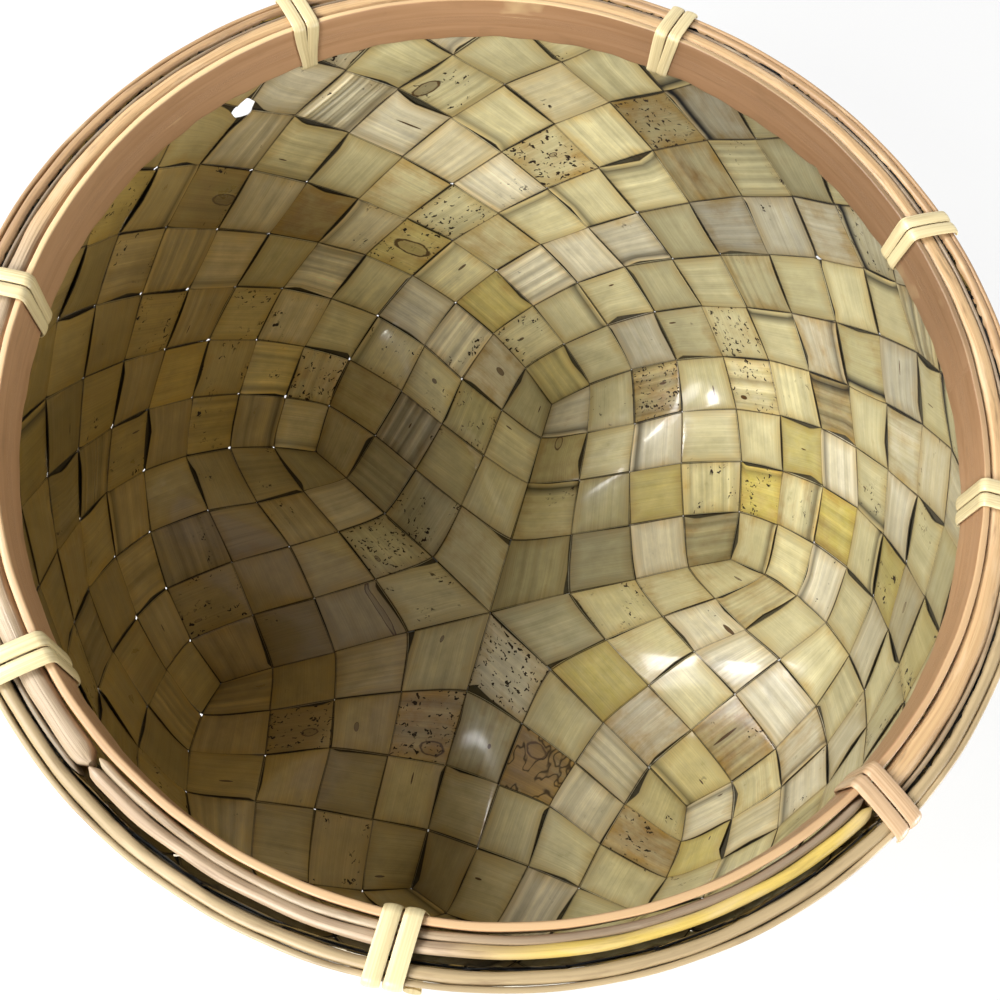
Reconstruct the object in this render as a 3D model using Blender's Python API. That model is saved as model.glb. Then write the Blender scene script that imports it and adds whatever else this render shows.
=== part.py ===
"""Plaited basket with a lashed rim, modelled as the pieces that it is made of.

Twenty-four flat laths are plaited over one and under one. Four of them cross each of
the six valleys of the base, run outward over the base and climb the wall as two
diagonals. An inner hoop and an outer hoop clamp their ends, a split cane covers the
ends between the hoops, a thin band goes round outside, and eight lashings bind it all.
The basket stands on the six feet where the valleys end. Metres, +Z up.
"""

import math

import bmesh
import bpy
from mathutils import Matrix, Vector

# Laths and their plaiting
LATH_WIDTH = 0.0230
LATH_THICKNESS = 0.0007
LATH_SLIT = 0.0002
LAYER_CLEARANCE = 0.0004

# Base, from the middle out: radius and height above the feet along a valley
VALLEY_PROFILE = ((0.037, 0.0075), (0.069, 0.005), (0.0955, 0.004), (0.118, 0.0))
CENTRE_HEIGHT = 0.008
# The same along a ridge, which ends in the wall
RIDGE_PROFILE = ((0.0525, 0.011), (0.0895, 0.024), (0.122, 0.0405))
VALLEYS = 6
FIRST_VALLEY_ANGLE = math.radians(73.7)
# Powers that shape the slope from a valley to the next ridge
SLOPE_OUT_POWER = 1.5
SLOPE_UP_POWER = 1.1

# Wall: how far it stands out beyond the rim, where it does, and the rows of its plaiting
BELLY_BULGE = 0.015
BELLY_BOTTOM = 0.080
BELLY_TOP = 0.144
FLARE_POWER = 1.4
DRAW_IN_POWER = 2.0
WALL_ROWS = 11.72
FOOT_FLAT_DEPTH = 0.0004

# Rim, from the inside out
RIM_RADIUS = 0.131
RIM_TOP = 0.201
RIM_OVAL = 0.006
INNER_HOOP_THICKNESS = 0.003
HOOP_HEIGHT = 0.0135
RIM_CHANNEL = 0.0062
OUTER_HOOP_THICKNESS = 0.0026
BAND_THICKNESS = 0.0012
BAND_HEIGHT = 0.008
CANE_HEIGHT = 0.0056
CANE_ROUNDING = 0.0016
CANE_JOINTS = (math.radians(-57.0), math.radians(228.5))
CANE_JOINT_GAP = 0.0006
HOOP_SEGMENTS = 72
FULL_TURN = math.radians(360.0)

# Lashings: bands wound twice round the rim, through slots in the wall; their places count
# in columns of the plaiting, clockwise from the first valley
LASHING_COLUMNS = (42.25, 0.87, 6.9, 12.25, 17.25, 23.25, 28.87, 34.92)
LASHING_WIDTH = 0.004
LASHING_THICKNESS = 0.0008
LASHING_PITCH = 0.0044
LASHING_TURNS = 2
CORNER_POINTS = 3

# Clearance between pieces that touch
SEAT = 0.0003

# Worked out from the sizes above
STEPS = len(VALLEY_PROFILE)
COLUMN_ANGLE = FULL_TURN / (VALLEYS * STEPS * 2)
COLUMNS_PER_VALLEY = 2 * STEPS
LAYER_OFFSET = (LATH_THICKNESS + LAYER_CLEARANCE) / 2
STACK = 2 * LAYER_OFFSET + LATH_THICKNESS
# Room between neighbouring laths, so that they clear each other where they fold at the feet
SIDE_ROOM = STACK + LATH_SLIT
RIM_BOTTOM = RIM_TOP - HOOP_HEIGHT
ROW_RISE = RIM_BOTTOM / WALL_ROWS
BELLY_RADIUS = RIM_RADIUS + BELLY_BULGE
CANE_BOTTOM = RIM_TOP - CANE_HEIGHT
LATH_END = CANE_BOTTOM - SEAT
CHANNEL_RADIUS = RIM_RADIUS + INNER_HOOP_THICKNESS
OUTER_HOOP_RADIUS = CHANNEL_RADIUS + RIM_CHANNEL
BAND_RADIUS = OUTER_HOOP_RADIUS + OUTER_HOOP_THICKNESS + SEAT
RIM_OUTSIDE = BAND_RADIUS + BAND_THICKNESS
# The wall's flats, and not only its corners, clear the inner hoop
WALL_RIM_RADIUS = (CHANNEL_RADIUS + SEAT + STACK / 2) / math.cos(COLUMN_ANGLE)
# The wall is drawn in fully half a row below the hoops
DRAW_IN_END = RIM_BOTTOM - ROW_RISE / 2
SLOT_HEIGHT = LASHING_THICKNESS + 2 * SEAT

# Finish of the meshes
SHARP_ANGLE = math.radians(30.0)
CUT_TOLERANCE = 1e-6

COLOURS = {
    "green_lath": (0.36, 0.33, 0.13),
    "grey_lath": (0.37, 0.34, 0.22),
    "yellow_lath": (0.50, 0.41, 0.14),
    "brown_lath": (0.31, 0.22, 0.11),
    "inner_hoop": (0.48, 0.25, 0.12),
    "outer_hoop": (0.64, 0.46, 0.24),
    "rim_cane": (0.62, 0.53, 0.36),
    "lashing": (0.76, 0.63, 0.38),
}
ROUGHNESS = {"green_lath": 0.42, "grey_lath": 0.45, "yellow_lath": 0.4, "brown_lath": 0.48,
             "inner_hoop": 0.5, "outer_hoop": 0.45, "rim_cane": 0.5, "lashing": 0.4}
# Colour of the four laths that cross each valley, from the middle out
LATH_KINDS = (
    ("green_lath", "yellow_lath", "green_lath", "grey_lath"),
    ("yellow_lath", "green_lath", "grey_lath", "green_lath"),
    ("green_lath", "green_lath", "grey_lath", "green_lath"),
    ("grey_lath", "brown_lath", "green_lath", "green_lath"),
    ("green_lath", "brown_lath", "green_lath", "grey_lath"),
    ("green_lath", "green_lath", "grey_lath", "green_lath"),
)


def clear_scene():
    """Remove every object, so that the script can run again."""
    for old in list(bpy.data.objects):
        bpy.data.objects.remove(old, do_unlink=True)


def make_collection(name):
    """Return a new collection linked to the scene."""
    collection = bpy.data.collections.new(name)
    bpy.context.scene.collection.children.link(collection)
    return collection


def make_materials():
    """Return one Principled material for each kind of piece."""
    materials = {}
    for name, colour in COLOURS.items():
        material = bpy.data.materials.new(name)
        material.use_nodes = True
        shader = material.node_tree.nodes["Principled BSDF"]
        shader.inputs["Base Color"].default_value = (*colour, 1.0)
        shader.inputs["Roughness"].default_value = ROUGHNESS[name]
        shader.inputs["Metallic"].default_value = 0.0
        material.diffuse_color = (*colour, 1.0)
        materials[name] = material
    return materials


def add_piece(bm, name, material, collection, parent):
    """Turn a bmesh into the named object of one piece."""
    bmesh.ops.recalc_face_normals(bm, faces=bm.faces)
    if bm.calc_volume(signed=True) < 0:
        bmesh.ops.reverse_faces(bm, faces=bm.faces)
    mesh = bpy.data.meshes.new(name)
    bm.to_mesh(mesh)
    bm.free()
    mesh.materials.append(material)
    mesh.shade_smooth()
    mesh.set_sharp_from_angle(angle=SHARP_ANGLE)
    piece = bpy.data.objects.new(name, mesh)
    collection.objects.link(piece)
    piece.parent = parent
    return piece


def oval(angle, height):
    """Return how far the oval moves the wall out: none at the feet, all of it from the hoops up."""
    return -RIM_OVAL * math.cos(2 * angle) * (min(height, RIM_BOTTOM) / RIM_BOTTOM) ** 2


def place(radius, angle, height):
    """Return the point at a radius, an angle and a height, with the oval added."""
    reach = radius + oval(angle, height)
    return Vector((reach * math.cos(angle), reach * math.sin(angle), height))


def wall_radius(height):
    """Return the wall's radius: flared from the feet, upright, then drawn in to the rim."""
    foot_radius = VALLEY_PROFILE[-1][0]
    if height < BELLY_BOTTOM:
        return BELLY_RADIUS - (BELLY_RADIUS - foot_radius) * (1 - height / BELLY_BOTTOM) ** FLARE_POWER
    if height > DRAW_IN_END:
        return WALL_RIM_RADIUS
    if height > BELLY_TOP:
        share = (height - BELLY_TOP) / (DRAW_IN_END - BELLY_TOP)
        return BELLY_RADIUS - (BELLY_RADIUS - WALL_RIM_RADIUS) * share ** DRAW_IN_POWER
    return BELLY_RADIUS


def wall_point(column, row):
    """Return a corner of the wall's plaiting; columns count clockwise from valley 0."""
    height = row * ROW_RISE
    return place(wall_radius(height), FIRST_VALLEY_ANGLE - column * COLUMN_ANGLE, height)


def base_point(sector, i, j):
    """Return a corner of the base's plaiting, i steps along one valley and j along the next."""
    if i == STEPS:
        return wall_point(COLUMNS_PER_VALLEY * sector + j, j)
    if j == STEPS:
        return wall_point(COLUMNS_PER_VALLEY * (sector + 1) - i, i)
    if i == 0 and j == 0:
        return place(0.0, 0.0, CENTRE_HEIGHT)
    ring, step = max(i, j), min(i, j)
    valley_radius, valley_height = VALLEY_PROFILE[ring - 1]
    ridge_radius, ridge_height = RIDGE_PROFILE[ring - 1]
    share = step / ring
    radius = valley_radius + (ridge_radius - valley_radius) * share ** SLOPE_OUT_POWER
    height = valley_height + (ridge_height - valley_height) * share ** SLOPE_UP_POWER
    turn = sector * COLUMNS_PER_VALLEY * COLUMN_ANGLE + math.atan2(j, i) * 4 / VALLEYS
    return place(radius, FIRST_VALLEY_ANGLE - turn, height)


def diamond(x, y):
    """Return the left, top, right and bottom corners of the wall's cell about a column and a row."""
    return wall_point(x - 1, y), wall_point(x, y + 1), wall_point(x + 1, y), wall_point(x, y - 1)


def lath_cells(valley, step):
    """Return the cells that a lath runs through, from one end of it to the other.

    A cell is its corners (near left, near right, far right, far left), whether the lath
    lies on the inside there, and whether the cell folds between near left and far right.
    """
    before = valley - 1
    wall_cells = math.ceil(LATH_END / ROW_RISE) - step
    cells = []
    for n in reversed(range(wall_cells)):
        x = COLUMNS_PER_VALLEY * before + step - n
        y = step + 1 + n
        left, top, right, bottom = diamond(x, y)
        cells.append(((left, top, right, bottom), x % 2 == 0, False))
    for a in reversed(range(STEPS)):
        corners = (base_point(before, a + 1, step), base_point(before, a + 1, step + 1),
                   base_point(before, a, step + 1), base_point(before, a, step))
        cells.append((corners, (a + step) % 2 == 0, False))
    for b in range(STEPS):
        corners = (base_point(valley, step, b), base_point(valley, step + 1, b),
                   base_point(valley, step + 1, b + 1), base_point(valley, step, b + 1))
        cells.append((corners, (step + b) % 2 == 1, True))
    for n in range(wall_cells):
        x = COLUMNS_PER_VALLEY * (valley + 1) - step + n
        y = step + 1 + n
        left, top, right, bottom = diamond(x, y)
        cells.append(((bottom, left, top, right), x % 2 == 1, True))
    return cells


def margin(start, end):
    """Return the share of a cell's edge that stays free beside the lath across it."""
    length = (end - start).length
    return 0.5 - min(LATH_WIDTH, length - SIDE_ROOM) / (2 * length)


def crossing(corners):
    """Return the four corners of the patch that both laths cover in a cell."""
    a, b, c, d = corners
    across_near, across_far = margin(a, b), margin(d, c)
    along_left, along_right = margin(a, d), margin(b, c)

    def blend(u, v):
        return (a * (1 - u) + b * u) * (1 - v) + (d * (1 - u) + c * u) * v

    return (blend(across_near, along_left), blend(1 - across_near, along_right),
            blend(1 - across_far, 1 - along_right), blend(across_far, 1 - along_left))


def inward(corners):
    """Return a cell's normal, pointing into the basket."""
    a, b, c, d = corners
    normal = (c - a).cross(d - b).normalized()
    middle = (a + b + c + d) / 4
    inside = Vector((0.0, 0.0, RIM_TOP / 2)) - middle
    return normal if normal.dot(inside) > 0 else -normal


def straight_lath(stations):
    """Return a box as a bmesh with a ring of four corners at each station along X."""
    bm = bmesh.new()
    bmesh.ops.create_cube(bm, size=1.0)
    lengthwise = [e for e in bm.edges if abs(e.verts[0].co.x - e.verts[1].co.x) > 0.5]
    bmesh.ops.subdivide_edges(bm, edges=lengthwise, cuts=stations - 2)
    return bm


def station_of(vertex, stations):
    """Return which ring a straight lath's corner belongs to."""
    return round((vertex.co.x + 0.5) * (stations - 1))


def cut_flat(bm, height, keep_below):
    """Cut a piece level at a height and close the cut."""
    geometry = bm.verts[:] + bm.edges[:] + bm.faces[:]
    cut = bmesh.ops.bisect_plane(bm, geom=geometry, dist=CUT_TOLERANCE, plane_co=(0.0, 0.0, height),
                                 plane_no=(0.0, 0.0, 1.0), clear_outer=keep_below, clear_inner=not keep_below)
    rim = [g for g in cut["geom_cut"] if isinstance(g, bmesh.types.BMEdge) and g.is_boundary]
    if rim:
        bmesh.ops.edgenet_fill(bm, edges=rim)


def plaited_lath(valley, step):
    """Return one lath as a bmesh, bent along its cells, in and out between the others."""
    cells = lath_cells(valley, step)
    stations = 2 * len(cells)
    rings = []
    for corners, on_inside, _ in cells:
        normal = inward(corners)
        level = LAYER_OFFSET if on_inside else -LAYER_OFFSET
        near_left, near_right, far_right, far_left = crossing(corners)
        for left, right in ((near_left, near_right), (far_left, far_right)):
            rings.append((left + normal * level, right + normal * level, normal))
    bm = straight_lath(stations)
    where = {v: (station_of(v, stations), v.co.y > 0, v.co.z > 0) for v in bm.verts}
    for v, (ring, on_right, on_top) in where.items():
        left, right, normal = rings[ring]
        edge = right if on_right else left
        v.co = edge + normal * (LATH_THICKNESS / 2 if on_top else -LATH_THICKNESS / 2)
    fold_patches(bm, where, [from_left for _, _, from_left in cells])
    cut_flat(bm, LATH_END, keep_below=True)
    return bm


def fold_patches(bm, where, folds):
    """Split each cell's two broad faces along the fold that both its laths share."""
    for face in list(bm.faces):
        levels = {where[v][2] for v in face.verts}
        first = min(where[v][0] for v in face.verts)
        if len(levels) > 1 or first % 2 or len(face.verts) != 4:
            continue
        from_left = folds[first // 2]
        start = next(v for v in face.verts if where[v][0] == first and where[v][1] != from_left)
        end = next(v for v in face.verts if where[v][0] == first + 1 and where[v][1] == from_left)
        bmesh.utils.face_split(face, start, end)


def rim_ring(radius, thickness, bottom, height, start=0.0, sweep=FULL_TURN, rounding=0.0):
    """Return a hoop, or an arc of one, with a rectangular section and rounded edges."""
    closed = math.isclose(sweep, FULL_TURN)
    bm = bmesh.new()
    bmesh.ops.create_grid(bm, x_segments=1, y_segments=1, size=0.5)
    for v in bm.verts:
        v.co = Vector((radius + (v.co.x + 0.5) * thickness, 0.0, bottom + (v.co.y + 0.5) * height))
    if rounding:
        bmesh.ops.bevel(bm, geom=bm.verts[:], offset=rounding, segments=1, profile=0.5, affect="VERTICES")
    bmesh.ops.delete(bm, geom=bm.faces[:], context="FACES_ONLY")
    bmesh.ops.rotate(bm, verts=bm.verts, cent=(0.0, 0.0, 0.0), matrix=Matrix.Rotation(start, 3, "Z"))
    bmesh.ops.spin(bm, geom=bm.verts[:] + bm.edges[:], cent=(0.0, 0.0, 0.0), axis=(0.0, 0.0, 1.0),
                   angle=sweep, steps=round(HOOP_SEGMENTS * sweep / FULL_TURN), use_merge=closed)
    if not closed:
        bmesh.ops.holes_fill(bm, edges=[e for e in bm.edges if e.is_boundary])
    for v in bm.verts:
        v.co = place(math.hypot(v.co.x, v.co.y), math.atan2(v.co.y, v.co.x), v.co.z)
    return bm


def rim_frame(column):
    """Return a point on the rim's inner face, and the directions out of it and along it."""
    angle = FIRST_VALLEY_ANGLE - column * COLUMN_ANGLE
    half_width = LASHING_WIDTH / 2 / RIM_RADIUS
    origin = place(RIM_RADIUS, angle, RIM_TOP)
    before = place(RIM_RADIUS, angle - half_width, RIM_TOP)
    after = place(RIM_RADIUS, angle + half_width, RIM_TOP)
    along = (after - before).normalized()
    outward = Vector((along.y, -along.x, 0.0))
    origin.z = 0.0
    return origin, outward, along


def lashing_route():
    """Return the middle line of a lashing's turns: (out from the rim's inner face, height, along)."""
    half = LASHING_THICKNESS / 2 + SEAT
    inner, outer = -half, RIM_OUTSIDE - RIM_RADIUS + half
    low, high = RIM_BOTTOM - half, RIM_TOP + half
    corners = ((outer, high, 0.0), (inner, high, 90.0), (inner, low, 180.0), (outer, low, 270.0))
    turn = []
    for out, height, start in corners:
        edge_out = out - math.copysign(half, out - (inner + outer) / 2)
        edge_height = height - math.copysign(half, height - (low + high) / 2)
        for n in range(CORNER_POINTS):
            bend = math.radians(start + 90.0 * n / (CORNER_POINTS - 1))
            turn.append((edge_out + half * math.cos(bend), edge_height + half * math.sin(bend)))
    route = turn * LASHING_TURNS
    lengths = [0.0]
    for (out_a, height_a), (out_b, height_b) in zip(route, route[1:]):
        lengths.append(lengths[-1] + math.hypot(out_b - out_a, height_b - height_a))
    turn_length = lengths[len(turn)]
    middle = lengths[-1] / 2
    return [(out, height, (length - middle) / turn_length * LASHING_PITCH)
            for (out, height), length in zip(route, lengths)]


def lashing(column):
    """Return a lashing as a bmesh: a flat band wound round the rim."""
    origin, outward, along = rim_frame(column)
    route = [origin + outward * out + along * side + Vector((0.0, 0.0, height))
             for out, height, side in lashing_route()]
    bm = straight_lath(len(route))
    last = len(route) - 1
    where = {v: (station_of(v, len(route)), v.co.y, v.co.z) for v in bm.verts}
    for v, (ring, across, through) in where.items():
        ahead = (route[min(ring + 1, last)] - route[max(ring - 1, 0)]).normalized()
        thickness_way = ahead.cross(along).normalized()
        v.co = route[ring] + along * (across * LASHING_WIDTH) + thickness_way * (through * LASHING_THICKNESS)
    return bm


def lashing_slots(collection, parent):
    """Return one cutter with a slot for each lashing, where it passes through the wall."""
    bm = bmesh.new()
    sides = [side for _, height, side in lashing_route() if height < RIM_BOTTOM]
    width = max(sides) - min(sides) + LASHING_WIDTH + 2 * SEAT
    middle_side = (max(sides) + min(sides)) / 2
    depth = RIM_CHANNEL + 2 * INNER_HOOP_THICKNESS
    middle_out = CHANNEL_RADIUS - RIM_RADIUS + RIM_CHANNEL / 2
    for column in LASHING_COLUMNS:
        origin, outward, along = rim_frame(column)
        made = bmesh.ops.create_cube(bm, size=1.0)
        for v in made["verts"]:
            out, side, up = v.co.x * depth, v.co.y * width, v.co.z * SLOT_HEIGHT
            v.co = origin + outward * (middle_out + out) + along * (middle_side + side)
            v.co.z = RIM_BOTTOM - SLOT_HEIGHT / 2 + up
    mesh = bpy.data.meshes.new("lashing_slots")
    bm.to_mesh(mesh)
    bm.free()
    cutter = bpy.data.objects.new("lashing_slots", mesh)
    collection.objects.link(cutter)
    cutter.parent = parent
    cutter.hide_render = True
    cutter.display_type = "WIRE"
    return cutter


def cut_slots(piece, cutter):
    """Cut the lashings' slots out of a lath."""
    modifier = piece.modifiers.new("slots", "BOOLEAN")
    modifier.operation = "DIFFERENCE"
    modifier.solver = "EXACT"
    modifier.object = cutter


def build():
    """Model every piece of the basket."""
    clear_scene()
    pieces = make_collection("plaited_basket")
    cutters = make_collection("cutters")
    materials = make_materials()
    frame = bpy.data.objects.new("basket_frame", None)
    pieces.objects.link(frame)
    cutter = lashing_slots(cutters, frame)

    laths = {}
    for valley in range(VALLEYS):
        for step in range(STEPS):
            laths[valley, step] = plaited_lath(valley, step)
    floor = min(v.co.z for bm in laths.values() for v in bm.verts) + FOOT_FLAT_DEPTH
    for (valley, step), bm in laths.items():
        cut_flat(bm, floor, keep_below=False)
        kind = LATH_KINDS[valley][step]
        piece = add_piece(bm, f"lath_{valley + 1}_{step + 1}", materials[kind], pieces, frame)
        cut_slots(piece, cutter)

    add_piece(rim_ring(RIM_RADIUS, INNER_HOOP_THICKNESS, RIM_BOTTOM, HOOP_HEIGHT),
              "inner_hoop", materials["inner_hoop"], pieces, frame)
    add_piece(rim_ring(OUTER_HOOP_RADIUS, OUTER_HOOP_THICKNESS, RIM_BOTTOM, HOOP_HEIGHT),
              "outer_hoop", materials["outer_hoop"], pieces, frame)
    add_piece(rim_ring(BAND_RADIUS, BAND_THICKNESS, RIM_TOP - BAND_HEIGHT, BAND_HEIGHT),
              "outer_band", materials["outer_hoop"], pieces, frame)
    first, second = CANE_JOINTS
    joint_angle = CANE_JOINT_GAP / OUTER_HOOP_RADIUS
    arcs = (("far_rim_cane", first, second - first),
            ("near_rim_cane", second, FULL_TURN - (second - first)))
    for name, start, sweep in arcs:
        bm = rim_ring(CHANNEL_RADIUS + SEAT, RIM_CHANNEL - 2 * SEAT, CANE_BOTTOM, CANE_HEIGHT,
                      start=start + joint_angle / 2, sweep=sweep - joint_angle, rounding=CANE_ROUNDING)
        add_piece(bm, name, materials["rim_cane"], pieces, frame)
    for number, column in enumerate(LASHING_COLUMNS, start=1):
        add_piece(lashing(column), f"lashing_{number}", materials["lashing"], pieces, frame)

    frame.location.z = -floor


build()
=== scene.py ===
"""Plaited basket with a lashed rim: its looks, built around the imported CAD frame.

Twenty-four laths of dried leaf are plaited over one and under one on a net of square
cells that is folded into a six-lobed base. Two hoops clamp them, split canes cover their
ends, and eight lashings bind the rim. Metres, +Z up; patterns are drawn in millimetres.
"""

import logging
import math
from dataclasses import dataclass
from enum import Enum
from functools import partial
from typing import NamedTuple, Optional, Sequence, Union

import bmesh
import bpy
import numpy as np
from mathutils import Matrix, Vector


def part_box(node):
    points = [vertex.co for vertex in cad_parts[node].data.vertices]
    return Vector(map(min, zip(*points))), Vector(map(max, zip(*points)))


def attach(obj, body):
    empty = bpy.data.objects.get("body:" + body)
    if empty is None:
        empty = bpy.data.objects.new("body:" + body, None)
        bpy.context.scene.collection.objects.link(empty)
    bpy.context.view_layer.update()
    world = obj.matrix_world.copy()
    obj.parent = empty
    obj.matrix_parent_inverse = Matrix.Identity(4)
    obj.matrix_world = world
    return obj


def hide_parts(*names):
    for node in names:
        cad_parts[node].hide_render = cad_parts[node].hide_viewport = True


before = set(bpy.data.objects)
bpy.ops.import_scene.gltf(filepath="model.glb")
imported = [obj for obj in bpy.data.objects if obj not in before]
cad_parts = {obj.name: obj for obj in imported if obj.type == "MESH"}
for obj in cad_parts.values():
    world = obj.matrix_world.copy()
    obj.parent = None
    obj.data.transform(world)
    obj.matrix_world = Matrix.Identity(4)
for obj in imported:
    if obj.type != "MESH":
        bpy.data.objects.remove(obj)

LOG = logging.getLogger("basket")
MM = 0.001
FULL_TURN = math.tau
BODY = "root"
# How deep a bump of full height is, the same in every finish
RELIEF_DEPTH = 1.6 * MM
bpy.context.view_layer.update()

Corner = tuple[int, int, int, int]
Colour = tuple[float, float, float, float]
Measure = Union[float, np.ndarray]


def linear(hex_colour: str) -> Colour:
    """Turn an sRGB hex colour into linear light.

    Args:
        hex_colour: The colour as "#RRGGBB".

    Returns:
        Red, green, blue and an alpha of one.
    """
    parts = [int(hex_colour[n:n + 2], 16) / 255 for n in (1, 3, 5)]
    light = [c / 12.92 if c <= 0.04045 else ((c + 0.055) / 1.055) ** 2.4 for c in parts]
    return (*light, 1.0)


def add_node(tree: bpy.types.NodeTree, kind: str, inputs: Optional[dict] = None,
             **settings) -> bpy.types.Node:
    """Add a shader node to a tree, set it up and link it.

    Args:
        tree: The node tree.
        kind: The node's type name, without "ShaderNode" before it.
        inputs: What goes into its inputs, by name or number: values, sockets, or nodes, which
            give their first output in use. Inputs 1 to 4 of a MapRange are the two ends of the
            range it reads and of the range it gives, and 6 and 7 of a Mix are its colours.
        **settings: Properties of the node.

    Returns:
        The new node.
    """
    node = tree.nodes.new("ShaderNode" + kind)
    for name, value in settings.items():
        setattr(node, name, value)
    for key, value in (inputs or {}).items():
        if isinstance(value, bpy.types.Node):
            value = next(output for output in value.outputs if output.enabled)
        if isinstance(value, bpy.types.NodeSocket):
            tree.links.new(value, node.inputs[key])
        else:
            node.inputs[key].default_value = value
    return node


def new_material(name: str) -> tuple[bpy.types.Material, bpy.types.NodeTree, bpy.types.Node]:
    """Return a new material, its node tree and its Principled shader."""
    made = bpy.data.materials.new(name)
    made.use_nodes = True
    return made, made.node_tree, made.node_tree.nodes["Principled BSDF"]


def fibre_pattern(tree: bpy.types.NodeTree, fibre: bpy.types.NodeSocket, across_mm: float, along_mm: float,
                  detail: float = 2.0) -> bpy.types.Node:
    """Draw the uneven growth of a leaf or a stem, as noise stretched along its fibres.

    Args:
        tree: The node tree.
        fibre: The place on the piece, in millimetres across and along its fibres.
        across_mm: The size of the pattern's features across the fibres.
        along_mm: Their size along the fibres.
        detail: How much finer noise is added.

    Returns:
        The noise, about 0.3 to 0.7.
    """
    size = (1 / across_mm, 1 / along_mm, 1.0)
    where = add_node(tree, "VectorMath", {0: fibre, 1: size}, operation="MULTIPLY")
    return add_node(tree, "TexNoise", {"Vector": where, "Scale": 1.0, "Detail": detail, "Roughness": 0.6})


def smoothstep(x: np.ndarray, low: float, high: float) -> np.ndarray:
    """Return a smooth step from 0 at low to 1 at high."""
    t = np.clip((x - low) / (high - low), 0.0, 1.0)
    return t * t * (3 - 2 * t)


def rows(like: np.ndarray, *parts: Measure) -> np.ndarray:
    """Stack numbers or arrays into vectors, one for each item of an array."""
    return np.stack([np.broadcast_to(part, like.shape) for part in parts], axis=-1)


def wobble(x: np.ndarray, rng: np.random.Generator, waves: Sequence[float]) -> np.ndarray:
    """Return a smooth irregular curve of about unit size.

    Args:
        x: Positions along the curve.
        rng: The seeded source of its phases.
        waves: The wavelengths that it is made of, in the unit of x.

    Returns:
        The curve's height at each position.
    """
    total = np.zeros_like(x, dtype=float)
    for wave in waves:
        stretch = rng.uniform(0.8, 1.25)
        total += np.sin(FULL_TURN * (x / (wave * stretch) + rng.uniform()))
    return total / math.sqrt(len(waves))


class Cell(NamedTuple):
    """One square of the net, as a lath meets it."""

    corners: tuple[Corner, Corner, Corner, Corner]
    on_inside: bool
    name: Corner


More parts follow.
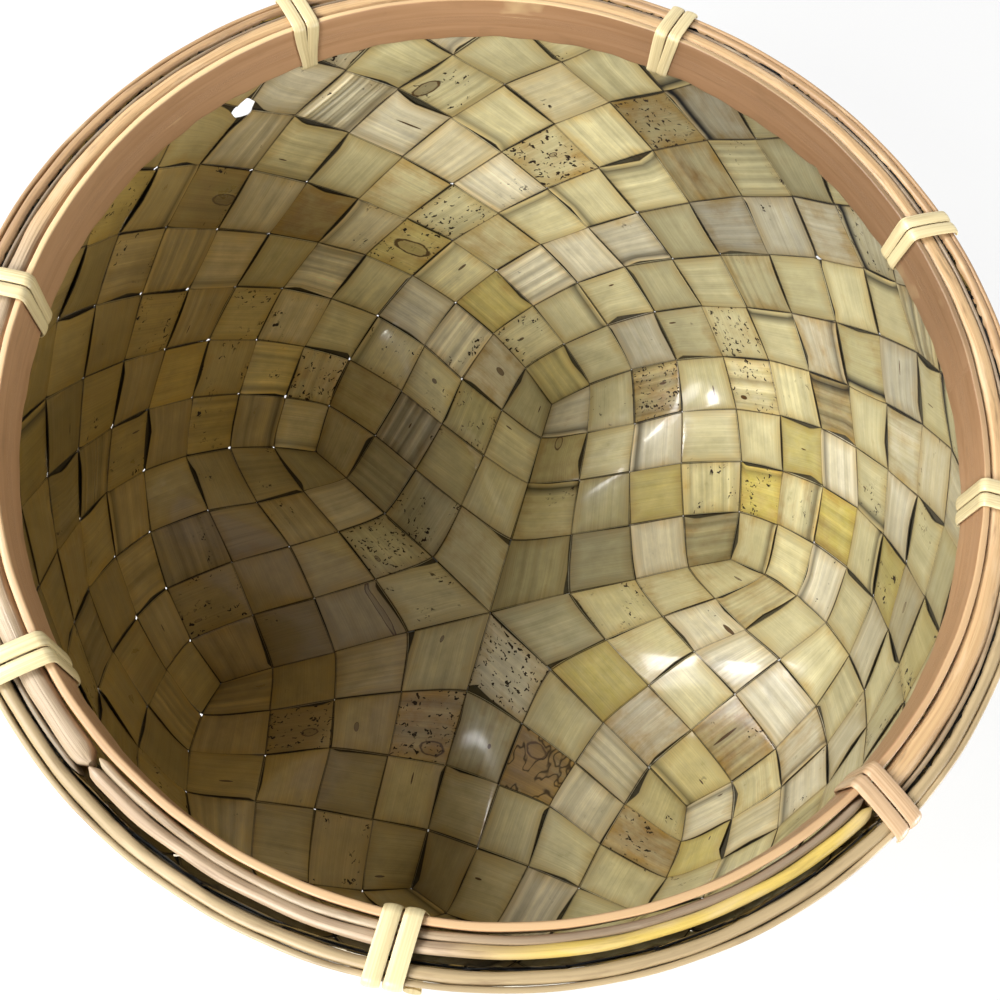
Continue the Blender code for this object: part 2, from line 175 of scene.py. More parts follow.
@dataclass(frozen=True)
class Lattice:
    """The folded net of square cells that the laths run along, as in the CAD source."""

    valley_profile: tuple = ((0.037, 0.0075), (0.069, 0.005), (0.0955, 0.004), (0.118, 0.0))
    ridge_profile: tuple = ((0.0525, 0.011), (0.0895, 0.024), (0.122, 0.0405))
    centre_height: float = 0.008
    valleys: int = 6
    first_angle: float = math.radians(73.7)
    slope_out_power: float = 1.5
    slope_up_power: float = 1.1
    belly_radius: float = 0.146
    belly_bottom: float = 0.080
    belly_top: float = 0.144
    flare_power: float = 1.4
    draw_in_power: float = 2.0
    wall_rows: float = 11.72
    rim_radius: float = 0.131
    rim_top: float = 0.201
    rim_oval: float = 0.006
    hoop_height: float = 0.0135
    wall_rim_radius: float = 0.13636

    @property
    def steps(self) -> int:
        """Return how many laths cross a valley."""
        return len(self.valley_profile)

    @property
    def column_angle(self) -> float:
        """Return the angle of one column of the wall."""
        return FULL_TURN / (2 * self.steps * self.valleys)

    @property
    def rim_bottom(self) -> float:
        """Return the height of the hoops' lower edge."""
        return self.rim_top - self.hoop_height

    @property
    def row_rise(self) -> float:
        """Return the height of one row of the wall."""
        return self.rim_bottom / self.wall_rows

    def oval(self, angle: Measure, height: Measure) -> Measure:
        """Return how far the oval moves the wall out at an angle and a height."""
        share = np.minimum(height, self.rim_bottom) / self.rim_bottom
        return -self.rim_oval * np.cos(2 * angle) * share ** 2

    def place(self, radius: Measure, angle: Measure, height: Measure) -> np.ndarray:
        """Return the points at a radius, an angle and a height, with the oval added."""
        reach = radius + self.oval(angle, height)
        return np.stack([reach * np.cos(angle), reach * np.sin(angle), height], axis=-1)

    def wall_radius(self, height: float) -> float:
        """Return the wall's radius: flared from the feet, upright, then drawn in to the rim."""
        foot = self.valley_profile[-1][0]
        draw_in_end = self.rim_bottom - self.row_rise / 2
        if height < self.belly_bottom:
            rest = 1 - height / self.belly_bottom
            return self.belly_radius - (self.belly_radius - foot) * rest ** self.flare_power
        if height > draw_in_end:
            return self.wall_rim_radius
        if height > self.belly_top:
            share = (height - self.belly_top) / (draw_in_end - self.belly_top)
            drawn_in = self.belly_radius - self.wall_rim_radius
            return self.belly_radius - drawn_in * share ** self.draw_in_power
        return self.belly_radius

    def wall(self, column: int, row: int) -> Corner:
        """Return a corner of the wall's net; columns count clockwise from the first valley."""
        return (1, 0, column % (2 * self.steps * self.valleys), row)

    def base(self, sector: int, i: int, j: int) -> Corner:
        """Return a corner of the base's net, i steps along one valley and j along the next."""
        if i == self.steps:
            return self.wall(2 * self.steps * sector + j, j)
        if j == self.steps:
            return self.wall(2 * self.steps * (sector + 1) - i, i)
        if i == 0 and j == 0:
            return (0, 0, 0, 0)
        if i == 0:
            return (0, (sector + 1) % self.valleys, j, 0)
        return (0, sector % self.valleys, i, j)

    def point(self, corner: Corner) -> np.ndarray:
        """Return where a corner of the net lies."""
        on_wall, sector, i, j = corner
        if on_wall:
            height = j * self.row_rise
            return self.place(self.wall_radius(height), self.first_angle - i * self.column_angle, height)
        if i == 0:
            return np.array((0.0, 0.0, self.centre_height))
        ring, step = max(i, j), min(i, j)
        valley_radius, valley_height = self.valley_profile[ring - 1]
        ridge_radius, ridge_height = self.ridge_profile[ring - 1]
        share = step / ring
        radius = valley_radius + (ridge_radius - valley_radius) * share ** self.slope_out_power
        height = valley_height + (ridge_height - valley_height) * share ** self.slope_up_power
        turn = (sector + math.atan2(j, i) * 2 / math.pi) * FULL_TURN / self.valleys
        return self.place(radius, self.first_angle - turn, height)

    def diamond(self, column: int, row: int) -> tuple[Corner, Corner, Corner, Corner]:
        """Return the left, top, right and bottom corners of a cell of the wall."""
        return (self.wall(column - 1, row), self.wall(column, row + 1),
                self.wall(column + 1, row), self.wall(column, row - 1))

    def lath_cells(self, valley: int, step: int, top: float) -> list[Cell]:
        """Return the cells that a lath runs through, from one end of it to the other.

        Args:
            valley: The valley that the lath crosses.
            step: How far out from the middle it crosses, in cells.
            top: The height at which the lath ends.

        Returns:
            The cells, each with its corners: near left, near right, far right, far left.
        """
        around = 2 * self.steps
        before = valley - 1
        wall_cells = math.ceil(top / self.row_rise) - step
        cells = []
        for n in reversed(range(wall_cells)):
            x = around * before + step - n
            left, above, right, below = self.diamond(x, step + 1 + n)
            cells.append(Cell((left, above, right, below), x % 2 == 0, self.wall(x, step + 1 + n)))
        for a in reversed(range(self.steps)):
            corners = (self.base(before, a + 1, step), self.base(before, a + 1, step + 1),
                       self.base(before, a, step + 1), self.base(before, a, step))
            cells.append(Cell(corners, (a + step) % 2 == 0, (0, before % self.valleys, a, step)))
        for b in range(self.steps):
            corners = (self.base(valley, step, b), self.base(valley, step + 1, b),
                       self.base(valley, step + 1, b + 1), self.base(valley, step, b + 1))
            cells.append(Cell(corners, (step + b) % 2 == 1, (0, valley, step, b)))
        for n in range(wall_cells):
            x = around * (valley + 1) - step + n
            left, above, right, below = self.diamond(x, step + 1 + n)
            cells.append(Cell((below, left, above, right), x % 2 == 1, self.wall(x, step + 1 + n)))
        return cells


class Net:
    """The lattice's cells joined up, so that smooth curves and normals can cross them."""

    def __init__(self, lattice: Lattice, top: float, slack: float) -> None:
        """Join the cells of all the laths.

        Args:
            lattice: The lattice.
            top: The height at which the laths end.
            slack: How smoothly an edge runs on past a corner, from 0, bent there, to 1.
        """
        self.lattice = lattice
        self.slack = slack
        self.cells_at: dict[Corner, list[tuple[Corner, ...]]] = {}
        seen = set()
        for valley in range(lattice.valleys):
            for step in range(lattice.steps):
                for cell in lattice.lath_cells(valley, step, top):
                    if frozenset(cell.corners) not in seen:
                        seen.add(frozenset(cell.corners))
                        for corner in cell.corners:
                            self.cells_at.setdefault(corner, []).append(cell.corners)
        self.points = {corner: lattice.point(corner) for corner in self.cells_at}
        self.normals = {corner: self.normal_at(corner) for corner in self.cells_at}

    def normal_at(self, corner: Corner) -> np.ndarray:
        """Return the mean normal of the cells round a corner, pointing into the basket."""
        inside = np.array((0.0, 0.0, self.lattice.rim_top / 2))
        total = np.zeros(3)
        for corners in self.cells_at[corner]:
            a, b, c, d = (self.points[key] for key in corners)
            normal = np.cross(c - a, d - b)
            normal /= np.linalg.norm(normal)
            middle = (a + b + c + d) / 4
            total += normal if normal @ (inside - middle) > 0 else -normal
        return total / np.linalg.norm(total)

    def beyond(self, start: Corner, end: Corner) -> Optional[np.ndarray]:
        """Return the next point of the line that runs from start to end, if it runs on."""
        around = self.cells_at[end]
        if len(around) != 4:
            return None
        others, beside = set(), {start}
        for corners in around:
            place = corners.index(end)
            ends = {corners[place - 1], corners[(place + 1) % 4]}
            others |= ends
            if start in ends:
                beside |= ends
        ahead = others - beside
        return self.points[ahead.pop()] if len(ahead) == 1 else None

    def edge(self, start: Corner, end: Corner, t: np.ndarray) -> np.ndarray:
        """Return points of the smooth line along one edge of the net.

        Args:
            start: The corner where the edge starts.
            end: The corner where it ends.
            t: Shares of the way along it.

        Returns:
            One point for each share.
        """
        p, q = self.points[start], self.points[end]
        before, after = self.beyond(end, start), self.beyond(start, end)
        straight = q - p
        leaving = straight if before is None else self.slack * (q - before) / 2 + (1 - self.slack) * straight
        arriving = straight if after is None else self.slack * (after - p) / 2 + (1 - self.slack) * straight
        t = t[..., None]
        return ((2 * t ** 3 - 3 * t ** 2 + 1) * p + (t ** 3 - 2 * t ** 2 + t) * leaving
                + (3 * t ** 2 - 2 * t ** 3) * q + (t ** 3 - t ** 2) * arriving)

    def patch(self, corners: Sequence[Corner], u: np.ndarray,
              v: np.ndarray) -> tuple[np.ndarray, np.ndarray]:
        """Return points and normals of the smooth patch that fills a cell.

        Args:
            corners: Near left, near right, far right and far left corners.
            u: Shares of the way from left to right.
            v: Shares of the way from near to far.

        Returns:
            The points and the normals, each as an array with the shape of u and v.
        """
        a, b, c, d = corners
        across, along = u[..., None], v[..., None]
        weights = ((1 - across) * (1 - along), across * (1 - along), across * along, (1 - across) * along)
        points = ((1 - along) * self.edge(a, b, u) + along * self.edge(d, c, u)
                  + (1 - across) * self.edge(a, d, v) + across * self.edge(b, c, v)
                  - sum(w * self.points[key] for w, key in zip(weights, corners)))
        normals = sum(w * self.normals[key] for w, key in zip(weights, corners))
        return points, normals / np.linalg.norm(normals, axis=-1, keepdims=True)


def to_mesh(bm: bmesh.types.BMesh, name: str) -> bpy.types.Mesh:
    """Turn a bmesh into a new mesh, and free it."""
    mesh = bpy.data.meshes.new(name)
    bm.to_mesh(mesh)
    bm.free()
    return mesh


def coordinates(mesh: bpy.types.Mesh) -> np.ndarray:
    """Return the places of a mesh's points."""
    flat = np.zeros(len(mesh.vertices) * 3, dtype=np.float32)
    mesh.vertices.foreach_get("co", flat)
    return flat.reshape(-1, 3)


def move_points(mesh: bpy.types.Mesh, places: np.ndarray) -> None:
    """Move every point of a mesh to its new place."""
    mesh.vertices.foreach_set("co", places.astype(np.float32).ravel())


def add_object(name: str, data: bpy.types.ID) -> bpy.types.Object:
    """Return a new object with the given data, linked to the scene."""
    added = bpy.data.objects.new(name, data)
    bpy.context.scene.collection.objects.link(added)
    return added


def strip_mesh(name: str, stations: int,
               ways: int) -> tuple[bpy.types.Mesh, np.ndarray, np.ndarray, np.ndarray]:
    """Make a long flat box as a grid, ready to be bent.

    Args:
        name: The mesh's name.
        stations: Number of rows of points along it.
        ways: Number of points across it.

    Returns:
        The mesh, and for each of its points the station, the place across, and whether
        it is on the upper side.
    """
    bm = bmesh.new()
    bmesh.ops.create_cube(bm, size=1.0)
    lengthwise = [e for e in bm.edges if abs(e.verts[0].co.x - e.verts[1].co.x) > 0.5]
    bmesh.ops.subdivide_edges(bm, edges=lengthwise, cuts=stations - 2)
    crosswise = [e for e in bm.edges if abs(e.verts[0].co.y - e.verts[1].co.y) > 0.5]
    bmesh.ops.subdivide_edges(bm, edges=crosswise, cuts=ways - 2)
    mesh = to_mesh(bm, name)
    co = coordinates(mesh)
    station = np.rint((co[:, 0] + 0.5) * (stations - 1)).astype(int)
    across = np.rint((co[:, 1] + 0.5) * (ways - 1)).astype(int)
    return mesh, station, across, co[:, 2] > 0


def set_attribute(mesh: bpy.types.Mesh, name: str, values: np.ndarray) -> None:
    """Store a vector at every point of a mesh, for its material to read."""
    attribute = mesh.attributes.new(name, "FLOAT_VECTOR", "POINT")
    attribute.data.foreach_set("vector", values.astype(np.float32).ravel())


def finish_mesh(mesh: bpy.types.Mesh, sharp_degrees: float = 50.0) -> None:
    """Turn a mesh's faces outwards and shade it smooth but for its sharp edges."""
    bm = bmesh.new()
    bm.from_mesh(mesh)
    bmesh.ops.recalc_face_normals(bm, faces=bm.faces)
    if bm.calc_volume(signed=True) < 0:
        bmesh.ops.reverse_faces(bm, faces=bm.faces)
    bm.to_mesh(mesh)
    bm.free()
    mesh.shade_smooth()
    mesh.set_sharp_from_angle(angle=math.radians(sharp_degrees))


def add_piece(mesh: bpy.types.Mesh, material: bpy.types.Material, slot: str,
              *nodes: str) -> bpy.types.Object:
    """Put a finished mesh into the scene as one piece of the basket.

    Args:
        mesh: The piece's mesh, in place; the piece gets its name.
        material: Its material.
        slot: The record's material slot, which is logged.
        *nodes: The CAD nodes that it stands for.

    Returns:
        The new object.
    """
    mesh.materials.append(material)
    piece = add_object(mesh.name, mesh)
    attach(piece, BODY)
    if nodes:
        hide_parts(*nodes)
    LOG.info("%s: %d faces, %s", piece.name, len(mesh.polygons), slot)
    return piece


class LathKind(Enum):
    """The tones that the dried laths come in, each a material slot of the record."""

    GREEN = "green_lath"
    GREY = "grey_lath"
    YELLOW = "yellow_lath"
    BROWN = "brown_lath"


@dataclass(frozen=True)
class LeafFinish:
    """A dried palm-leaf lath: waxy skin over lengthwise fibres, with dark specks and stains."""

    name: str
    body: str
    streak: str
    ridge: float = 0.1
    stain: str = "#8A7046"
    # Olive brown of the shaded side, partly age and partly painted shade; also the colour of the painted
    # shade near cell ends and edges
    aged_and_shaded: str = "#967628"
    golden: str = "#B9AA50"
    blot: str = "#54391C"
    # Colour of the painted shade in the crevices
    dark: str = "#2E210E"
    speck: str = "#2A1C0E"
    roughness: float = 0.32
    wax: float = 0.85
    wax_roughness: float = 0.15

    def material(self) -> bpy.types.Material:
        """Return the finish as a material that reads the laths' own attributes."""
        # Palm leaf dried flat: a thin wax skin gives sharp bright glints over matt fibres
        made, tree, shader = new_material(self.name)
        node = partial(add_node, tree)
        fibre, cell, tone, shade_gold_ridge, mark = (node("Attribute", attribute_name=name).outputs["Vector"]
                                         for name in ("fibre", "cell", "tone", "shade_gold_ridge", "mark"))
        side, ahead, _ = node("SeparateXYZ", {0: cell}).outputs
        stain, specks, light = node("SeparateXYZ", {0: tone}).outputs
        brown_in_shade, gold, ridged = node("SeparateXYZ", {0: shade_gold_ridge}).outputs
        growth = partial(fibre_pattern, tree, fibre)
        hairs, blotches, ridges = growth(0.5, 45.0, 3.0), growth(8.0, 12.0, 5.0), growth(3.4, 160.0, 1.0)

        # Paler streaks; sun and handling turn some cells golden, and the shaded side is olive brown, partly
        # from age and partly as painted shade
        streaks = node("MapRange", {0: growth(2.4, 90.0, 3.0), 1: 0.35, 2: 0.75})
        mottled = node("MapRange", {0: growth(4.0, 7.0, 4.0), 1: 0.3, 2: 0.7, 3: 0.45, 4: 1.0})
        sunned = node("Math", {0: gold, 1: mottled}, operation="MULTIPLY")
        # Brown stains, with the dark outlines that damp leaves round them
        stained = node("Math", {0: stain, 1: 0.62, 2: blotches}, operation="MULTIPLY_ADD")
        stained = node("MapRange", {0: stained, 1: 0.62, 2: 1.05})
        outline = node("Math", {0: growth(15.0, 9.0), 1: 0.52}, operation="SUBTRACT")
        outline = node("Math", {0: outline}, operation="ABSOLUTE")
        outline = node("MapRange", {0: outline, 1: 0.03, 2: 0.006})
        damp = node("MapRange", {0: stain, 1: 0.85, 2: 1.0, 3: 0.0, 4: 0.85})
        outline = node("Math", {0: outline, 1: damp}, operation="MULTIPLY")
        # Painted shade: a soft darkening toward the cell's ends and edges, and dark crevices where the lath
        # goes under or another crosses it
        dive = node("Math", {0: ahead}, operation="ABSOLUTE")
        edge = node("Math", {0: side}, operation="ABSOLUTE")
        border = node("Math", {0: dive, 1: edge}, operation="MAXIMUM")
        edge_shade = node("Math", {0: blotches, 1: 0.7, 2: border}, operation="MULTIPLY_ADD")
        edge_shade = node("MapRange", {0: edge_shade, 1: 0.95, 2: 1.42, 3: 0.0, 4: 0.62})
        dive = node("MapRange", {0: dive, 1: 0.945, 2: 0.988, 3: 0.0, 4: 0.97})
        edge = node("MapRange", {0: edge, 1: 0.972, 2: 1.0, 3: 0.0, 4: 0.75})
        crevice_shade = node("Math", {0: dive, 1: edge}, operation="MAXIMUM")
        colour = linear(self.body)
        for share, tint in ((streaks, self.streak), (sunned, self.golden), (brown_in_shade, self.aged_and_shaded),
                            (stained, self.stain), (edge_shade, self.aged_and_shaded), (crevice_shade, self.dark)):
            colour = node("Mix", {0: share, 6: colour, 7: linear(tint)}, data_type="RGBA")
        # Fine fibres, broad ridges and each cell's lightness, which carries painted light and shade as well
        # as its own tone
        relief = node("Math", {0: ridged, 1: self.ridge}, operation="ADD")
        ridges = node("Math", {0: ridges, 1: 0.5}, operation="SUBTRACT")
        relief = node("Math", {0: ridges, 1: relief}, operation="MULTIPLY")
        level = node("Math", {0: light, 1: 0.22, 2: 1.0}, operation="MULTIPLY_ADD")
        for streak in (node("MapRange", {0: hairs, 1: 0.25, 2: 0.75, 3: 0.83, 4: 1.13}),
                       node("MapRange", {0: blotches, 1: 0.3, 2: 0.7, 3: 0.8, 4: 1.14}),
                       node("Math", {0: relief, 1: 1.5, 2: 1.0}, operation="MULTIPLY_ADD")):
            level = node("Math", {0: level, 1: streak}, operation="MULTIPLY")
        colour = node("VectorMath", {0: colour, 3: level}, operation="SCALE")
        # Specks of half a millimetre to one and a half, shaken out of their grid
        shaken = node("TexNoise", {"Vector": fibre, "Scale": 0.35, "Detail": 2.0}).outputs["Color"]
        shaken = node("VectorMath", {0: shaken, 1: (5.0, 7.0, 0.0), 2: fibre}, operation="MULTIPLY_ADD")
        grain = node("VectorMath", {0: shaken, 1: (1 / 1.6, 1 / 2.0, 1.0)}, operation="MULTIPLY")
        spots = node("TexVoronoi", {"Vector": grain, "Scale": 1.0})
        spot = node("Math", {0: spots.outputs["Color"], 1: 0.5}, operation="MULTIPLY")
        spot = node("Math", {0: spot, 1: spots.outputs["Distance"]}, operation="SUBTRACT")
        spot = node("MapRange", {0: spot, 1: 0.0, 2: 0.05})
        zone = node("Math", {0: specks, 1: 0.5, 2: growth(12.0, 16.0)}, operation="MULTIPLY_ADD")
        zone = node("MapRange", {0: zone, 1: 0.68, 2: 0.76})
        spot = node("Math", {0: spot, 1: zone}, operation="MULTIPLY")
        dark = node("Math", {0: spot, 1: outline}, operation="MAXIMUM")
        # Eye marks: a brown ring round a stained middle, or a solid blot where the fill is one
        flat = node("VectorMath", {0: mark, 1: (1.0, 1.0, 0.0)}, operation="MULTIPLY")
        out = node("VectorMath", {0: flat}, operation="LENGTH")
        out = node("Math", {0: growth(3.0, 5.0), 1: 0.5, 2: out}, operation="MULTIPLY_ADD")
        fill = node("SeparateXYZ", {0: mark}).outputs[2]
        inside = node("MapRange", {0: out, 1: 1.3, 2: 1.15})
        inside = node("Math", {0: inside, 1: fill}, operation="MULTIPLY")
        ring = node("Math", {0: out, 1: 1.22}, operation="SUBTRACT")
        ring = node("Math", {0: ring}, operation="ABSOLUTE")
        ring = node("MapRange", {0: ring, 1: 0.17, 2: 0.07, 3: 0.0, 4: 0.95})
        marked = node("Math", {0: inside, 1: ring}, operation="MAXIMUM")
        for share, tint in ((marked, self.blot), (dark, self.speck)):
            colour = node("Mix", {0: share, 6: colour, 7: linear(tint)}, data_type="RGBA")
        tree.links.new(colour.outputs[2], shader.inputs["Base Color"])

        height = node("Math", {0: relief, 1: 0.55}, operation="MULTIPLY")
        for lump, weight in ((hairs, 0.025), (dark, -0.06), (ring, -0.04), (blotches, 0.05)):
            height = node("Math", {0: lump, 1: weight, 2: height}, operation="MULTIPLY_ADD")
        bump = node("Bump", {"Height": height, "Distance": RELIEF_DEPTH, "Strength": 1.0})
        tree.links.new(bump.outputs[0], shader.inputs["Normal"])
        # Where it is dim or dirty, on specks, in the crevices painted with shade, and where it is torn or
        # tucked under, the wax has gone and the fibres are matt
        clean = node("MapRange", {0: level, 1: 0.35, 2: 0.8, 3: 0.0, 4: self.wax})
        shade_and_specks = node("Math", {0: crevice_shade, 1: dark}, operation="MAXIMUM")
        shade_and_specks = node("Math", {0: 1.0, 1: shade_and_specks}, operation="SUBTRACT")
        clean = node("Math", {0: shade_and_specks, 1: clean}, operation="MULTIPLY")
        tree.links.new(clean.outputs[0], shader.inputs["Coat Weight"])
        rough = node("MapRange", {0: blotches, 1: 0.3, 2: 0.7, 3: self.roughness - 0.05,
                                  4: self.roughness + 0.12})
        rough = node("Math", {0: edge_shade, 1: 0.4, 2: rough}, operation="MULTIPLY_ADD")
        bare = node("MapRange", {0: clean, 1: 0.0, 2: self.wax, 3: 0.45, 4: 0.0})
        rough = node("Math", {0: rough, 1: bare}, operation="ADD")
        tree.links.new(rough.outputs[0], shader.inputs["Roughness"])
        shader.inputs["IOR"].default_value = 1.48
        shader.inputs["Coat Roughness"].default_value = self.wax_roughness
        return made


@dataclass(frozen=True)
class CaneFinish:
    """Split cane or rattan: a hard bark side with long grain, pale where it is cut."""

    name: str
    bark: str
    grain: str
    cut: str
    cut_above: float = 1.0
    grain_mm: float = 0.9
    mottle_share: float = 0.3
    roughness: float = 0.42
    ridge_height: float = 0.06
    cut_fade: float = 0.3 * MM
    # The colour that a strip turns to along its length, from where, and over how far
    turns_to: Optional[str] = None
    turns_mm: float = 80.0
    turning_mm: float = 25.0
    soil: str = "#6A5238"
    soil_share: float = 0.25
    # How much painted shade darkens the far right of the rim
    right_painted_shade: float = 0.0

    def material(self) -> bpy.types.Material:
        """Return the finish as a material that reads the piece's own attribute."""
        # Split bamboo and rattan keep their smooth bark: satin, with fine lines along the grain
        made, tree, shader = new_material(self.name)
        node = partial(add_node, tree)
        fibre = node("Attribute", attribute_name="fibre").outputs["Vector"]
        lines = fibre_pattern(tree, fibre, self.grain_mm, 60.0, 3.0)
        share = node("MapRange", {0: lines, 1: 0.4, 2: 0.7})
        colour = node("Mix", {0: share, 6: linear(self.bark), 7: linear(self.grain)}, data_type="RGBA")
        if self.turns_to is not None:
            along = node("SeparateXYZ", {0: fibre}).outputs[1]
            share = node("MapRange", {0: along, 1: self.turns_mm, 2: self.turns_mm + self.turning_mm})
            grained = node("MapRange", {0: lines, 1: 0.4, 2: 0.7, 3: 1.0, 4: 0.75})
            turned = node("VectorMath", {0: linear(self.turns_to)[:3], 3: grained}, operation="SCALE")
            colour = node("Mix", {0: share, 6: colour, 7: turned}, data_type="RGBA")
        # Weathered patches, and the pale wood where the edge is cut; painted shade dulls the cut edge at the
        # near side and the far right
        patch = fibre_pattern(tree, fibre, 6.0, 30.0, 3.0)
        patch = node("MapRange", {0: patch, 1: 0.7 - self.mottle_share * 0.3, 2: 0.8})
        right, back, height = node("SeparateXYZ", {0: node("TexCoord").outputs["Object"]}).outputs
        far_right = node("Math", {0: node("MapRange", {0: right, 1: 0.0, 2: 0.11}),
                                  1: node("MapRange", {0: back, 1: -0.05, 2: 0.02})}, operation="MULTIPLY")
        cut_edge_share = node("MapRange", {0: back, 1: -0.06, 2: 0.06, 3: 0.45, 4: 1.0})
        cut_edge_share = node("Math", {0: far_right, 1: -0.6, 2: cut_edge_share}, operation="MULTIPLY_ADD")
        top = node("MapRange", {0: height, 1: self.cut_above, 2: self.cut_above + self.cut_fade, 4: cut_edge_share})
        pale = node("Math", {0: patch, 1: top}, operation="MAXIMUM")
        colour = node("Mix", {0: pale, 6: colour, 7: linear(self.cut)}, data_type="RGBA")
        # Painted shade darkens the far right of the rim
        level = node("Math", {0: far_right, 1: -self.right_painted_shade, 2: 1.0}, operation="MULTIPLY_ADD")
        colour = node("VectorMath", {0: colour, 3: level}, operation="SCALE")
        # Dirt that has settled in the grain
        soiled = fibre_pattern(tree, fibre, 2.2, 18.0, 4.0)
        soiled = node("MapRange", {0: soiled, 1: 0.56, 2: 0.72, 3: 0.0, 4: self.soil_share})
        colour = node("Mix", {0: soiled, 6: colour, 7: linear(self.soil)}, data_type="RGBA")
        tree.links.new(colour.outputs[2], shader.inputs["Base Color"])
        bump = node("Bump", {"Height": lines, "Distance": RELIEF_DEPTH * self.ridge_height, "Strength": 1.0})
        tree.links.new(bump.outputs[0], shader.inputs["Normal"])
        shader.inputs["Roughness"].default_value = self.roughness
        shader.inputs["IOR"].default_value = 1.5
        return made


class Mark(NamedTuple):
    """A dark mark on a lath: an eye ring, a blot or a crack."""

    across: float
    along: float
    wide_mm: float
    long_mm: float
    fill: float


@dataclass(frozen=True)
class CellLook:
    """What one cell shows of its lath, where that is more than chance gives it."""

    stain: float = 0.0
    specks: float = 0.0
    light: float = 0.0
    gold: float = 0.0
    ridge: float = 0.0
    mark: Optional[Mark] = None


